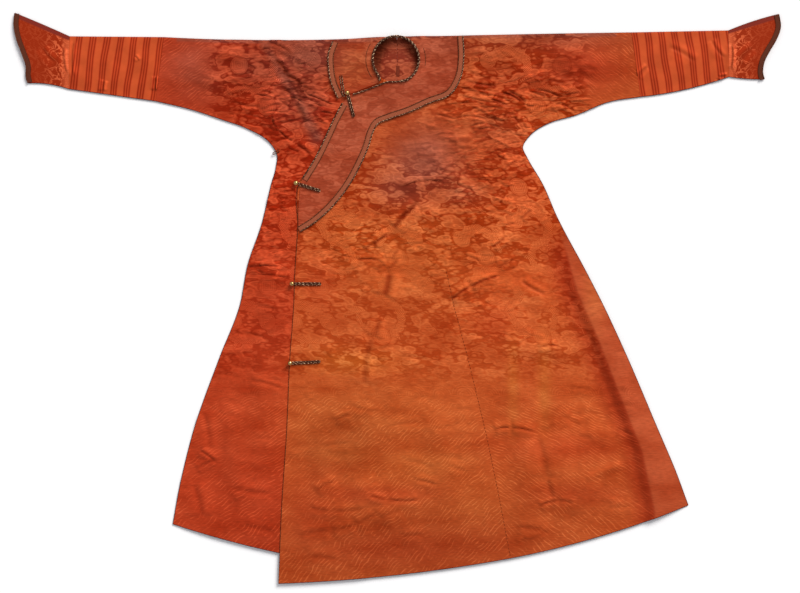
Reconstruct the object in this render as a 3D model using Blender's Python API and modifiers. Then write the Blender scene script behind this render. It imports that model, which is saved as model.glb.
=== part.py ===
# A long silk dragon robe with hoof cuffs, laid out flat on its back.
# Left and right are the wearer's: the wearer's left lies at +X, the shoulders at +Y, and the floor at z = 0.
# The back lies on the floor, the right front with its under-flap lies on the back, and the overlap,
# which is sewn to the left front along the centre seam, lies on the under-flap.
# The tables and the sizes below are in millimetres.

import math
from collections import namedtuple

import bmesh
import bpy
import numpy as np
from mathutils import Vector

MM = 0.001

# Thicknesses and clearances
SILK = 1.2  # damask with its lining
TRIM = 1.0  # facing and braid
SEAM_GAP = 0.3
LAYER_GAP = 0.6  # free air between two layers that lie on each other
FACING_AIR = 0.2  # more of it under the facings, which bridge the neckline's curve
REST_GAP = 0.4  # under cords and buttons
CUFF_GAP = 1.5 * SEAM_GAP

# Heights of the middle of each layer above the floor
BACK_LEVEL = SILK / 2
SEAM_LEVEL = 2.2  # front layer along the side seams
FOLD_RISE = 1.4  # more of it away from the seams, so that the shoulder fold has a radius
FOLD_RISE_REACH = 40.0
LOFT = 2.2  # how far the front floats up in the middle
LOFT_REACH = 120.0
OVERLAP_STEP = SILK + LAYER_GAP
FLAP_MARGIN = 5.0  # the top layer starts down this far beside the under-flap's edge
FLAP_RUN = 40.0  # and is down this much further on
FACING_STEP = SILK / 2 + TRIM / 2 + LAYER_GAP + FACING_AIR
BRAID_STEP = TRIM + LAYER_GAP
BACK_HEM_BOW = -20

# Neckline: a circle cut in the front, which touches the shoulder fold at its top
NECK = (-3.0, 607.0)
NECK_RADIUS = 59.0
NECK_LIFT = 4.5
NECK_LIFT_REACH = 45.0
NAPE_CURL = 5.0  # the back's edge stands up this far inside the ring
NAPE_START = 632.0
NAPE_RUN = 30.0
NAPE_HALF_WIDTH = 45.0
NAPE_TURN = 35.0  # the facings end this many degrees from the nape, and the neck cord sinks there
NAPE_ROWS = ((0.96, 659.0), (0.8, 635.0), (0.45, 608.0))  # share of the sleeve seam, y at the centre back
NECK_CORD_RADIUS = 3.2
OVER_CORD_TURN = (89.5, -66.0)  # the two neck cords start beside each other at the nape
UNDER_CORD_TURN = (90.5, 213.0)
OVER_CROSSING = ((-2, 550), (-26, 549), (-43, 543), (-82, 528), (-112, 518))
UNDER_CROSSING = ((-45, 561), (-43, 553))

# Mesh spacing
FRONT_REACH = 48.0
BACK_REACH = 200.0
NECK_ROWS = 6
FOLD_STEPS = 4
TRIM_REACH = 26.0
CROSSING_REACH = 12.0
CORD_TURN = 11.0  # degrees between two points of the neck cords
LEFT_COLUMNS = 16
RIGHT_COLUMNS = 14
OVERLAP_COLUMNS = 14
COLUMN_CROWD = 1.2  # the body's columns are closer together towards the neck
BAND_ROWS = 5
BAND_COLUMNS = 7
CUFF_COLUMNS = 5
FACING_COLUMNS = 5

# Closures
BUTTON_RADIUS = 6.5
TAIL_RADIUS = 2.0
TAIL_SPREAD = 2.3  # half the distance between the two strands of a toggle tail
LOOP_RADIUS = 1.3
LOOP_SPREAD = 2.6
TAIL_START = 6.1  # from the ball's centre, which leaves its strand just clear of the ball
TAIL_STRETCH = 9.0  # distance between two points of a strand
TAIL_TURN_STEPS = 6
COLLAR_LOOP = ((-143, 566), (-135, 513))
UNDERARM_LOOP = ((-300, 376), (-316, 367))
LOOP_CLIMB = (535.0, 20.0)  # where the collar's loop starts up onto the overlap, and its run

# Tape over the centre back seam
TAPE_SIZE = (8.0, 26.0)
TAPE_MIDDLE = (2.5, 579.0)

# Each row of a body table is one section across the panel. in_ is its end on the centre seam or the
# free edge, out_ is its end on the side seam, bow lifts its middle, and back_y is where the same section
# meets the centre back seam.
Section = namedtuple("Section", "in_x in_y out_x out_y bow back_y")

LEFT_SECTIONS = (
    Section(288, -663, 742, -528, -12, -681),
    Section(260, -513, 709, -439, -10, -520),
    Section(226, -347, 660, -324, -4, -345),
    Section(180, -156, 586, -150, 0, -156),
    Section(143, -18, 525, -18, 0, -18),
    Section(125, 66, 480, 70, 0, 70),
    Section(92, 200, 406, 210, 0, 205),
    Section(70, 290, 371, 290, 0, 290),
    Section(50, 368, 329, 362, 0, 368),
    Section(43, 398, 320, 384, 0, 395),
    Section(36, 428, 341, 417, 0, 420),
    Section(30, 455, 385, 445, 0, 450),
    Section(25, 492, 455, 466, 0, 480),
    Section(21, 527, 540, 500, 0, 510),
    Section(18, 552, 620, 513, 0, 540),
)
RIGHT_SECTIONS = (
    Section(-107, -683, -571, -576, -11, -681),
    Section(-95, -500, -549, -460, -6, -500),
    Section(-80, -315, -510, -312, -2, -315),
    Section(-65, -150, -451, -150, 0, -150),
    Section(-52, -18, -399, -15, 0, -18),
    Section(-45, 66, -381, 80, 0, 70),
    Section(-35, 190, -344, 190, 0, 190),
    Section(-28, 290, -320, 290, 0, 290),
    Section(-22, 352, -308, 334, 0, 350),
    Section(-18, 392, -306, 368, 0, 390),
    Section(-14, 422, -328, 400, 0, 420),
    Section(-10, 450, -380, 431, 0, 450),
    Section(-6, 482, -450, 456, 0, 480),
    Section(-4, 515, -530, 482, 0, 510),
    Section(-3, 547, -615, 502, 0, 540),
)
# The overlap shares the centre seam's ends with the left front, row by row.
Edge = namedtuple("Edge", "x y bow")
OVERLAP_EDGE = (
    Edge(-301, -727, -11),
    Edge(-292, -520, 0),
    Edge(-280, -340, 0),
    Edge(-272, -156, 0),
    Edge(-262, -18, 0),
    Edge(-259, 66, 0),
    Edge(-252, 180, 0),
    Edge(-250, 288, 0),
    Edge(-222, 334, 0),
    Edge(-201, 368, 0),
    Edge(-186, 402, 0),
    Edge(-172, 434, 0),
    Edge(-158, 462, 2),
    Edge(-148, 482, 5),
    Edge(-139, 498, 10),
)
CENTRE_TURN = -69.0  # where the centre seam meets the neck circle, in degrees
LEFT_FOLD_TURN = 72.0
UNDER_TURN = -90.0
RIGHT_FOLD_TURN = -252.0

# Sleeve seams as (x, y) at the underarm edge and at the shoulder fold
LEFT_SEAM = ((620, 513), (597, 675))
RIGHT_SEAM = ((-615, 502), (-594, 663))
LEFT_WRIST = ((846, 564), (844, 680))
RIGHT_WRIST = ((-836, 533), (-834, 665))
LEFT_FOLD_BOW = 1
RIGHT_FOLD_BOW = -8
UNDERARM_BOW = -7  # the left sleeve band sags along its underarm edge

# Rows of a cuff run along the sleeve, from the wrist seam to the open edge.
# along says how far up the wrist seam the row starts.
CuffRow = namedtuple("CuffRow", "along out_x out_y bow")
LEFT_CUFF = (
    CuffRow(0.00, 936, 558, -2),
    CuffRow(0.12, 932, 573, -1),
    CuffRow(0.30, 935, 600, 0),
    CuffRow(0.50, 950, 631, 0),
    CuffRow(0.68, 967, 660, 0),
    CuffRow(0.85, 977, 690, -1),
    CuffRow(1.00, 973, 722, 3),
)
RIGHT_CUFF = (
    CuffRow(0.00, -941, 548, 5),
    CuffRow(0.12, -945, 562, 3),
    CuffRow(0.30, -945, 590, 1),
    CuffRow(0.50, -957, 626, 0),
    CuffRow(0.68, -969, 659, 0),
    CuffRow(0.85, -976, 696, -2),
    CuffRow(1.00, -974, 725, 1),
)

# The shoulder fold, from the right cuff's tip to the left one's
SHOULDER = (
    (-974, 725), (-838, 666), (-594, 664), (-446, 660), (-286, 655), (-145, 656),
    (-31, 663), (43, 667), (186, 671), (416, 673), (607, 676), (840, 681), (974, 722),
)

# Facing and braid: the collar facing runs round the neck and down the overlap's slanting edge.
# out_ is on its braided line, in_ on the neckline or on the overlap's edge.
Band = namedtuple("Band", "out_x out_y in_x in_y")
FACING_OVER = (
    Band(168, 668, 34, 655),
    Band(170, 612, 56, 612),
    Band(162, 561, 51, 584),
    Band(135, 518, 34, 561),
    Band(84, 497, 8, 550),
    Band(28, 472, -26, 548),
    Band(-22, 455, -80, 528),
    Band(-50, 442, -124, 512),
    Band(-61, 423, -139, 495),
    Band(-71, 390, -157, 462),
    Band(-94, 337, -184, 404),
    Band(-120, 290, -208, 356),
    Band(-158, 240, -240, 304),
    Band(-210, 192, -250, 240),
    Band(-246, 169, -251, 180),
)
EDGE_ROWS = slice(8, 13)  # those rows whose inner ends lie along the overlap's edge
FACING_UNDER = (
    Band(-163, 654, -44, 650),
    Band(-174, 624, -60, 623),
    Band(-174, 584, -60, 592),
    Band(-168, 550, -51, 571),
    Band(-150, 508, -46, 548),
)
BRAID_WIDTH = 13.0
BINDING_WIDTH = 12.0

# The largest folds: a ridge from one end to the other, half_width wide to each side
Fold = namedtuple("Fold", "x0 y0 x1 y1 half_width height")
TOP_FOLDS = (
    Fold(300, -110, 352, -640, 62, 5.5),
    Fold(398, -160, 432, -590, 50, 4.5),
    Fold(120, -10, 262, 62, 46, 4.5),
    Fold(262, 40, 400, -24, 44, 4.5),
    Fold(255, -128, 470, -134, 40, 3.5),
    Fold(-36, -70, -30, -270, 44, 3.5),
    Fold(-130, -440, 10, -600, 52, 4.5),
    Fold(84, -250, 135, -540, 52, 4.5),
    Fold(-200, -300, -172, -590, 48, 4.0),
    Fold(440, -566, 500, -440, 46, 4.5),
    Fold(470, -330, 560, -365, 40, 4.0),
    Fold(5, 150, 90, 262, 46, 4.0),
    Fold(60, 380, 190, 250, 48, 4.0),
    Fold(218, 520, 318, 410, 48, 6.0),
    Fold(262, 585, 520, 500, 44, 4.5),
    Fold(350, 625, 540, 585, 40, 3.5),
    Fold(200, 100, 330, 190, 46, 4.0),
    Fold(-150, 120, -60, 40, 44, 3.5),
)
UNDER_FOLDS = (
    Fold(-345, 540, -292, 425, 44, 5.5),
    Fold(-290, 600, -225, 530, 40, 4.5),
    Fold(-556, 600, -400, 528, 40, 4.0),
    Fold(-480, 632, -330, 606, 34, 3.0),
    Fold(-375, 110, -318, 84, 34, 4.0),
    Fold(-520, -380, -430, -410, 44, 4.0),
    Fold(-440, -230, -400, -540, 52, 4.5),
    Fold(-340, -110, -352, -300, 34, 3.5),
)
# The strip along the left side stands up as one long fold: its inner edge and its height
SideRidge = namedtuple("SideRidge", "x y height")
SIDE_RIDGE = (
    SideRidge(428, 122, 0.0),
    SideRidge(454, 20, 6.0),
    SideRidge(510, -107, 8.0),
    SideRidge(569, -260, 8.5),
    SideRidge(620, -388, 8.5),
    SideRidge(652, -540, 7.0),
)
RIDGE_RISE = 40.0
RIDGE_FALL = 95.0
FOLD_FADE = 3.0  # a fold fades over a third of its length at each end

# Buttons and toggles: the ball on the free edge, and the far end of the double strand that holds it
Toggle = namedtuple("Toggle", "name ball_x ball_y far_x far_y carrier")
TOGGLES = (
    Toggle("collar", -126, 521, -110, 462, "facing"),
    Toggle("chest", -257, 292, -196, 273, "facing"),
    Toggle("waist", -267, 36, -194, 36, "overlap"),
    Toggle("hip", -272, -166, -196, -162, "overlap"),
)

collection = bpy.data.collections.new("chinese_dragon_robe")


def clear_scene():
    for obj in list(bpy.data.objects):
        bpy.data.objects.remove(obj, do_unlink=True)
    bpy.context.scene.collection.children.link(collection)


# Colours


def material(name, colour, roughness, metallic=0.0):
    """A Principled material with a plain colour."""
    made = bpy.data.materials.new(name)
    made.use_nodes = True
    shader = made.node_tree.nodes["Principled BSDF"]
    shader.inputs["Base Color"].default_value = (*colour, 1.0)
    shader.inputs["Roughness"].default_value = roughness
    shader.inputs["Metallic"].default_value = metallic
    made.diffuse_color = (*colour, 1.0)
    return made


DAMASK = material("orange_silk_damask", (0.46, 0.10, 0.03), 0.5)
UNDER_DAMASK = material("red_orange_silk_damask", (0.44, 0.06, 0.02), 0.5)
RIBBED_SILK = material("ribbed_sleeve_silk", (0.52, 0.12, 0.035), 0.5)
CUFF_SILK = material("cuff_silk", (0.36, 0.05, 0.02), 0.5)
FACING_SILK = material("facing_silk", (0.38, 0.08, 0.03), 0.5)
BRAID = material("bronze_braid", (0.14, 0.07, 0.03), 0.6)
CORD = material("twisted_cord", (0.05, 0.035, 0.03), 0.7)
BRASS = material("gilt_brass", (0.7, 0.5, 0.2), 0.3, 1.0)

# Curves through tables


def eased(value):
    """0 below 0, 1 above 1, and a smooth step between."""
    value = min(max(value, 0.0), 1.0)
    return value * value * (3.0 - 2.0 * value)


def row_gaps(rows):
    """How far each row lies from the next, at the end where they are further apart."""
    steps = np.diff(np.array(rows, float), axis=0)
    gaps = np.hypot(steps[:, 0], steps[:, 1])
    if steps.shape[1] >= 4:
        gaps = np.maximum(gaps, np.hypot(steps[:, 2], steps[:, 3]))
    return gaps


def through(rows, reach, gaps=None):
    """The table's rows with smooth rows between them, none further apart than reach.

    Two panels that share a seam pass the same gaps, so that their rows meet.
    """
    keys = np.array(rows, float)
    steps = np.diff(keys, axis=0)
    if gaps is None:
        gaps = row_gaps(rows)
    slopes = steps / gaps[:, None]
    tangents = [slopes[0]]
    for k in range(1, len(keys) - 1):
        before, after = gaps[k - 1], gaps[k]
        tangents.append((slopes[k - 1] * after + slopes[k] * before) / (before + after))
    tangents.append(slopes[-1])
    made = []
    for k, gap in enumerate(gaps):
        count = max(1, math.ceil(gap / reach))
        for step in range(count):
            t = step / count
            near = 2 * t**3 - 3 * t**2 + 1
            leave = (t**3 - 2 * t**2 + t) * gap
            arrive = (t**3 - t**2) * gap
            row = near * keys[k] + leave * tangents[k] + (1 - near) * keys[k + 1] + arrive * tangents[k + 1]
            made.append(row)
    made.append(keys[-1])
    return made


def across(row, columns, crowd=1.0):
    """Points of one section, from its inner to its outer end. crowd over 1 sets them closer at the inner end."""
    in_x, in_y, out_x, out_y, bow = row[:5]
    points = []
    for column in range(columns + 1):
        u = (column / columns) ** crowd
        x = in_x + (out_x - in_x) * u
        y = in_y + (out_y - in_y) * u + bow * 4 * u * (1 - u)
        points.append((x, y))
    return points


def between(start, end, share):
    return tuple(a + (b - a) * share for a, b in zip(start, end))


def distance_to(points, x, y):
    """Distance from a point to a line through the points."""
    line = np.array(points, float)
    starts, runs = line[:-1], np.diff(line, axis=0)
    reach = ((x - starts[:, 0]) * runs[:, 0] + (y - starts[:, 1]) * runs[:, 1]) / (runs**2).sum(axis=1)
    nearest = starts + runs * np.clip(reach, 0, 1)[:, None]
    return float(np.hypot(nearest[:, 0] - x, nearest[:, 1] - y).min())


# Heights of the layers

LEFT_SIDE = [(row.out_x, row.out_y) for row in LEFT_SECTIONS]
LEFT_SIDE += [LEFT_WRIST[0], (LEFT_CUFF[0].out_x, LEFT_CUFF[0].out_y)]
RIGHT_SIDE = [(row.out_x, row.out_y) for row in RIGHT_SECTIONS]
RIGHT_SIDE += [RIGHT_WRIST[0], (RIGHT_CUFF[0].out_x, RIGHT_CUFF[0].out_y)]


def neck_distance(x, y):
    return math.hypot(x - NECK[0], y - NECK[1])


def fold_height(folds, x, y):
    """The highest of the ridges at this place, each a rounded wave that fades towards its ends."""
    height = 0.0
    for fold in folds:
        run = np.array((fold.x1 - fold.x0, fold.y1 - fold.y0), float)
        length = float(np.hypot(*run))
        along = ((x - fold.x0) * run[0] + (y - fold.y0) * run[1]) / length**2
        aside = abs((x - fold.x0) * run[1] - (y - fold.y0) * run[0]) / length
        if aside < fold.half_width and 0 < along < 1:
            wave = math.cos(math.pi / 2 * aside / fold.half_width) ** 2
            fade = eased(along * FOLD_FADE) * eased((1 - along) * FOLD_FADE)
            height = max(height, fold.height * wave * fade)
    return height


def side_ridge_height(x, y):
    """The long raised strip beside the left side seam, steep on its inner side."""
    rows = sorted((row.y, row.x, row.height) for row in SIDE_RIDGE)
    ys, edges, heights = zip(*rows)
    edge = float(np.interp(y, ys, edges))
    height = float(np.interp(y, ys, heights))
    return height * eased((x - edge) / RIDGE_RISE + 0.5) * (1 - eased((x - edge) / RIDGE_FALL))


def front_level(x, y):
    """Middle of the front layer before its folds: low at the seams, floating between them."""
    side = min(distance_to(LEFT_SIDE, x, y), distance_to(RIGHT_SIDE, x, y))
    shoulder = distance_to(SHOULDER, x, y)
    lift = NECK_LIFT * math.exp(-(((neck_distance(x, y) - NECK_RADIUS) / NECK_LIFT_REACH) ** 2))
    rise = FOLD_RISE * eased(side / FOLD_RISE_REACH)
    loft = LOFT * eased(side / LOFT_REACH) * eased(shoulder / LOFT_REACH)
    return SEAM_LEVEL + rise + loft + lift


def under_edge_x(y):
    """Where the under-flap's free edge runs, hidden below the overlap."""
    rows = sorted((row.in_y, row.in_x) for row in RIGHT_SECTIONS)
    return float(np.interp(y, [row[0] for row in rows], [row[1] for row in rows]))


def under_level(x, y):
    """The right front with its under-flap."""
    return front_level(x, y) + fold_height(UNDER_FOLDS, x, y)


def top_level(x, y):
    """The overlap and the left front: one step higher over the under-flap, easing down beside it."""
    step = OVERLAP_STEP * (1 - eased((x - under_edge_x(y) - FLAP_MARGIN) / FLAP_RUN))
    return front_level(x, y) + step + max(fold_height(TOP_FOLDS, x, y), side_ridge_height(x, y))


def back_level(x, y):
    """The back lies on the floor and curls up at the nape."""
    curl = eased((y - NAPE_START) / NAPE_RUN) * math.exp(-(((x - NECK[0]) / NAPE_HALF_WIDTH) ** 2))
    return BACK_LEVEL + NAPE_CURL * curl


def facing_over_level(x, y):
    return top_level(x, y) + FACING_STEP


def facing_under_level(x, y):
    return under_level(x, y) + FACING_STEP


# Meshes


def place(obj, surface):
    collection.objects.link(obj)
    obj.data.materials.append(surface)
    return obj


def sheet(name, rows, thickness, surface):
    """A grid laid through rows of points, with a wall of the given thickness about it."""
    columns = len(rows[0]) - 1
    grid = bmesh.new()
    bmesh.ops.create_grid(grid, x_segments=columns, y_segments=len(rows) - 1, size=0.5)
    for vert in grid.verts:
        column = round((vert.co.x + 0.5) * columns)
        row = round((vert.co.y + 0.5) * (len(rows) - 1))
        vert.co = Vector(rows[row][column]) * MM
    for face in grid.faces:
        face.smooth = True
    mesh = bpy.data.meshes.new(name)
    grid.to_mesh(mesh)
    grid.free()
    obj = place(bpy.data.objects.new(name, mesh), surface)
    wall = obj.modifiers.new("wall", "SOLIDIFY")
    wall.thickness = thickness * MM
    wall.offset = 0.0
    return obj


def raised(points, level):
    return [(x, y, level(x, y)) for x, y in points]


def folded_panel(name, front, back, columns, level, surface, crowd=1.0):
    """Cloth that runs from the front's hem up over the shoulder fold and down to the back's hem."""
    rows = [raised(across(row, columns, crowd), level) for row in front]
    fold = rows[-1]
    for step in range(1, FOLD_STEPS + 1):
        turn = math.pi * step / FOLD_STEPS
        arc = []
        for x, y, high in fold:
            low = back_level(x, y)
            radius = (high - low) / 2
            arc.append((x, y + radius * math.sin(turn), low + radius + radius * math.cos(turn)))
        rows.append(arc)
    rows += [raised(across(row, columns, crowd), back_level) for row in back]
    return sheet(name, rows, SILK, surface)


def neck_point(turn):
    angle = math.radians(turn)
    return NECK[0] + NECK_RADIUS * math.cos(angle), NECK[1] + NECK_RADIUS * math.sin(angle)


def body_half(name, sections, seam, turns, fold_bow, centre_gap, columns, level, surface):
    """One half of the robe: front, shoulder and back in one length of silk, with its part of the sleeve."""
    lower = through([row[:5] for row in sections], FRONT_REACH)
    neck = []
    for step in range(1, NECK_ROWS + 1):
        share = step / NECK_ROWS
        inner = neck_point(turns[0] + (turns[1] - turns[0]) * share)
        outer = between(seam[0], seam[1], share)
        neck.append((*inner, *outer, fold_bow * eased(share)))
    front = [*lower, *neck]
    keys = [(centre_gap, row.back_y, row.out_x, row.out_y, row.bow) for row in sections]
    keys[0] = (*keys[0][:4], BACK_HEM_BOW)
    down = through(keys, BACK_REACH)[::-1]
    nape = []
    for share, y in NAPE_ROWS:
        outer = between(seam[0], seam[1], share)
        nape.append((centre_gap, y, *outer, fold_bow * eased(share)))
    return folded_panel(name, front, [*nape, *down], columns, level, surface, COLUMN_CROWD)


def overlap():
    """The overlap, from the centre seam to its free edge."""
    keys = []
    for row, edge in zip(LEFT_SECTIONS, OVERLAP_EDGE):
        keys.append((row.in_x - SEAM_GAP, row.in_y, edge.x, edge.y, edge.bow))
    rows = through(keys, FRONT_REACH, row_gaps([row[:4] for row in LEFT_SECTIONS]))
    return sheet("overlap", [raised(across(row, OVERLAP_COLUMNS), top_level) for row in rows], SILK, DAMASK)


def sleeve_band(name, seam, wrist, gap, bow, surface):
    """The ribbed stretch of the sleeve between the upper sleeve and the cuff."""
    rows = []
    for step in range(BAND_ROWS + 1):
        share = step / BAND_ROWS
        inner = between(seam[0], seam[1], share)
        outer = between(wrist[0], wrist[1], share)
        rows.append((inner[0] + gap, inner[1], outer[0], outer[1], bow * (1 - eased(BAND_ROWS / 2 * share))))
    back = rows[::-1][1::2]
    return folded_panel(name, rows, back, BAND_COLUMNS, front_level, surface)


def cuff(name, table, wrist, gap, surface):
    """The hoof-shaped cuff, folded along its upper edge."""
    rows = []
    for row in table:
        inner = between(wrist[0], wrist[1], row.along)
        rows.append((inner[0] + gap, inner[1], row.out_x, row.out_y, row.bow))
    front = through(rows, TRIM_REACH)
    back = through(rows, FRONT_REACH)[::-1][1:]
    return folded_panel(name, front, back, CUFF_COLUMNS, front_level, surface)


def facing(name, table, level):
    """A flat collar facing between its braided line and the neckline."""
    rows = through(table, TRIM_REACH)
    points = [raised(across((*row, 0), FACING_COLUMNS), level) for row in rows]
    return sheet(name, points, TRIM, FACING_SILK)


def ribbon(name, line, width, level, side, surface):
    """A narrow band along a line, laid to one side of it."""
    points = [Vector(row[:2]) for row in through(line, TRIM_REACH)]
    rows = []
    for index, point in enumerate(points):
        before = points[max(index - 1, 0)]
        after = points[min(index + 1, len(points) - 1)]
        ahead = (after - before).normalized()
        aside = Vector((-ahead.y, ahead.x)) * side
        rows.append(raised([tuple(point), tuple(point + aside * width)], level))
    return sheet(name, rows, TRIM, surface)


def cord(name, path, radius, surface):
    """A round cord along its points, as a polyline with closed ends."""
    curve = bpy.data.curves.new(name, "CURVE")
    curve.dimensions = "3D"
    curve.bevel_depth = radius * MM
    curve.bevel_resolution = 2
    curve.use_fill_caps = True
    spline = curve.splines.new("POLY")
    spline.points.add(len(path) - 1)
    for point, place_mm in zip(spline.points, path):
        point.co = (*(Vector(place_mm) * MM), 1.0)
    return place(bpy.data.objects.new(name, curve), surface)


def hairpin(near, far, spread):
    """A double strand seen from above: out on one side, round the far end and back on the other."""
    near, far = Vector(near), Vector(far)
    ahead = (far - near).normalized()
    aside = Vector((-ahead.y, ahead.x))
    straight = (far - near).length - spread
    count = max(2, math.ceil(straight / TAIL_STRETCH))
    points = [near + ahead * straight * step / count + aside * spread for step in range(count + 1)]
    turn = near + ahead * straight
    for step in range(1, TAIL_TURN_STEPS):
        angle = math.pi * step / TAIL_TURN_STEPS
        points.append(turn + aside * spread * math.cos(angle) + ahead * spread * math.sin(angle))
    points += [near + ahead * straight * step / count - aside * spread for step in range(count, -1, -1)]
    return [(point.x, point.y) for point in points]


def ball(name, x, y, z):
    """A small round metal button."""
    mesh = bpy.data.meshes.new(name)
    globe = bmesh.new()
    bmesh.ops.create_uvsphere(globe, u_segments=12, v_segments=8, radius=BUTTON_RADIUS * MM)
    for face in globe.faces:
        face.smooth = True
    globe.to_mesh(mesh)
    globe.free()
    obj = place(bpy.data.objects.new(name, mesh), BRASS)
    obj.location = Vector((x, y, z)) * MM
    return obj


# Pieces


def bodies():
    half_gap = SEAM_GAP / 2
    body_half(
        "body_left", LEFT_SECTIONS, LEFT_SEAM, (CENTRE_TURN, LEFT_FOLD_TURN), LEFT_FOLD_BOW,
        half_gap, LEFT_COLUMNS, top_level, DAMASK,
    )
    body_half(
        "body_right", RIGHT_SECTIONS, RIGHT_SEAM, (UNDER_TURN, RIGHT_FOLD_TURN), RIGHT_FOLD_BOW,
        -half_gap, RIGHT_COLUMNS, under_level, UNDER_DAMASK,
    )
    overlap()


def sleeves():
    sleeve_band("sleeve_band_left", LEFT_SEAM, LEFT_WRIST, SEAM_GAP, UNDERARM_BOW, RIBBED_SILK)
    sleeve_band("sleeve_band_right", RIGHT_SEAM, RIGHT_WRIST, -SEAM_GAP, 0, RIBBED_SILK)
    cuff("cuff_left", LEFT_CUFF, LEFT_WRIST, CUFF_GAP, CUFF_SILK)
    cuff("cuff_right", RIGHT_CUFF, RIGHT_WRIST, -CUFF_GAP, CUFF_SILK)


def binding_level(x, y):
    return front_level(x, y) + FACING_STEP


def trims():
    facing("collar_facing_over", FACING_OVER, facing_over_level)
    facing("collar_facing_under", FACING_UNDER, facing_under_level)
    over_line = [(row.out_x, row.out_y) for row in FACING_OVER]
    under_line = [(row.out_x, row.out_y) for row in FACING_UNDER]
    edge_line = [(row.in_x, row.in_y) for row in FACING_OVER[EDGE_ROWS]]

    def on_over(x, y):
        return facing_over_level(x, y) + BRAID_STEP

    def on_under(x, y):
        return facing_under_level(x, y) + BRAID_STEP

    ribbon("braid_facing_over", over_line, BRAID_WIDTH, on_over, -1, BRAID)
    ribbon("braid_facing_under", under_line, BRAID_WIDTH, on_under, 1, BRAID)
    ribbon("braid_overlap_edge", edge_line, BRAID_WIDTH, on_over, 1, BRAID)
    for side, table, turn in (("left", LEFT_CUFF, 1), ("right", RIGHT_CUFF, -1)):
        edge = [(row.out_x, row.out_y) for row in table]
        ribbon(f"cuff_binding_{side}", edge, BINDING_WIDTH, binding_level, turn, BRAID)


def neck_cords():
    """The piping round the neck: it ends in two pieces that cross in front, the overlap's above the other."""
    seat = TRIM / 2 + REST_GAP + NECK_CORD_RADIUS

    def ring(turns, level):
        points = []
        for turn in np.linspace(*turns, round(abs(turns[1] - turns[0]) / CORD_TURN) + 1):
            x, y = neck_point(turn)
            nape = 1 - eased(abs(turn - 90.0) / NAPE_TURN)
            points.append((x, y, level(x, y) + seat - nape * FACING_STEP))
        return points

    over = ring(OVER_CORD_TURN, facing_over_level)
    for x, y in through(OVER_CROSSING, CROSSING_REACH):
        over.append((x, y, facing_over_level(x, y) + seat))
    under = ring(UNDER_CORD_TURN, facing_under_level)
    for x, y in UNDER_CROSSING:
        under.append((x, y, facing_under_level(x, y) + seat))
    cord("neck_cord_over", over, NECK_CORD_RADIUS, CORD)
    cord("neck_cord_under", under, NECK_CORD_RADIUS, CORD)


def closures():
    seat = {"facing": TRIM / 2 + REST_GAP, "overlap": SILK / 2 + REST_GAP}
    level = {"facing": facing_over_level, "overlap": top_level}
    for toggle in TOGGLES:
        on = level[toggle.carrier]
        button = (toggle.ball_x, toggle.ball_y)
        far = (toggle.far_x, toggle.far_y)
        near = between(button, far, TAIL_START / math.dist(button, far))
        tail = []
        for x, y in hairpin(near, far, TAIL_SPREAD):
            tail.append((x, y, on(x, y) + seat[toggle.carrier] + TAIL_RADIUS))
        cord(f"toggle_{toggle.name}", tail, TAIL_RADIUS, CORD)
        ball(f"button_{toggle.name}", *button, on(*near) + seat[toggle.carrier] + BUTTON_RADIUS)


def loops():
    collar = []
    for x, y in hairpin(*COLLAR_LOOP, LOOP_SPREAD):
        climb = OVERLAP_STEP * eased((LOOP_CLIMB[0] - y) / LOOP_CLIMB[1])
        collar.append((x, y, facing_under_level(x, y) + TRIM / 2 + REST_GAP + LOOP_RADIUS + climb))
    cord("loop_collar", collar, LOOP_RADIUS, CORD)
    underarm = []
    for x, y in hairpin(*UNDERARM_LOOP, LOOP_SPREAD):
        underarm.append((x, y, under_level(x, y) + SILK / 2 + REST_GAP + LOOP_RADIUS))
    cord("loop_underarm", underarm, LOOP_RADIUS, CORD)


def neck_tape():
    """A short tape sewn over the centre back seam, seen through the neck."""
    mesh = bpy.data.meshes.new("neck_tape")
    block = bmesh.new()
    bmesh.ops.create_cube(block, size=1.0)
    bmesh.ops.scale(block, vec=Vector((*TAPE_SIZE, TRIM)) * MM, verts=block.verts)
    block.to_mesh(mesh)
    block.free()
    obj = place(bpy.data.objects.new("neck_tape", mesh), CORD)
    obj.location = Vector((*TAPE_MIDDLE, SILK + SEAM_GAP + TRIM / 2)) * MM


def main():
    clear_scene()
    bodies()
    sleeves()
    trims()
    neck_cords()
    closures()
    loops()
    neck_tape()
    root = bpy.data.objects.new("robe", None)
    collection.objects.link(root)
    for obj in collection.objects:
        if obj is not root:
            obj.parent = root


main()
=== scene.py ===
# %% [markdown]
# # A silk dragon robe, laid out flat
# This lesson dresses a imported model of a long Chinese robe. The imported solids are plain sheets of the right
# size and place. Here each of them gets a finer shell of cloth with its creases, its woven pattern and its
# sheen, and the small things that make it a sewn garment: braid, twisted cords, brass buttons and stitches.
# Tables and sizes are in millimetres, as a tailor would give them, and MM turns them into metres.

import math
import random
from collections import namedtuple

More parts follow.
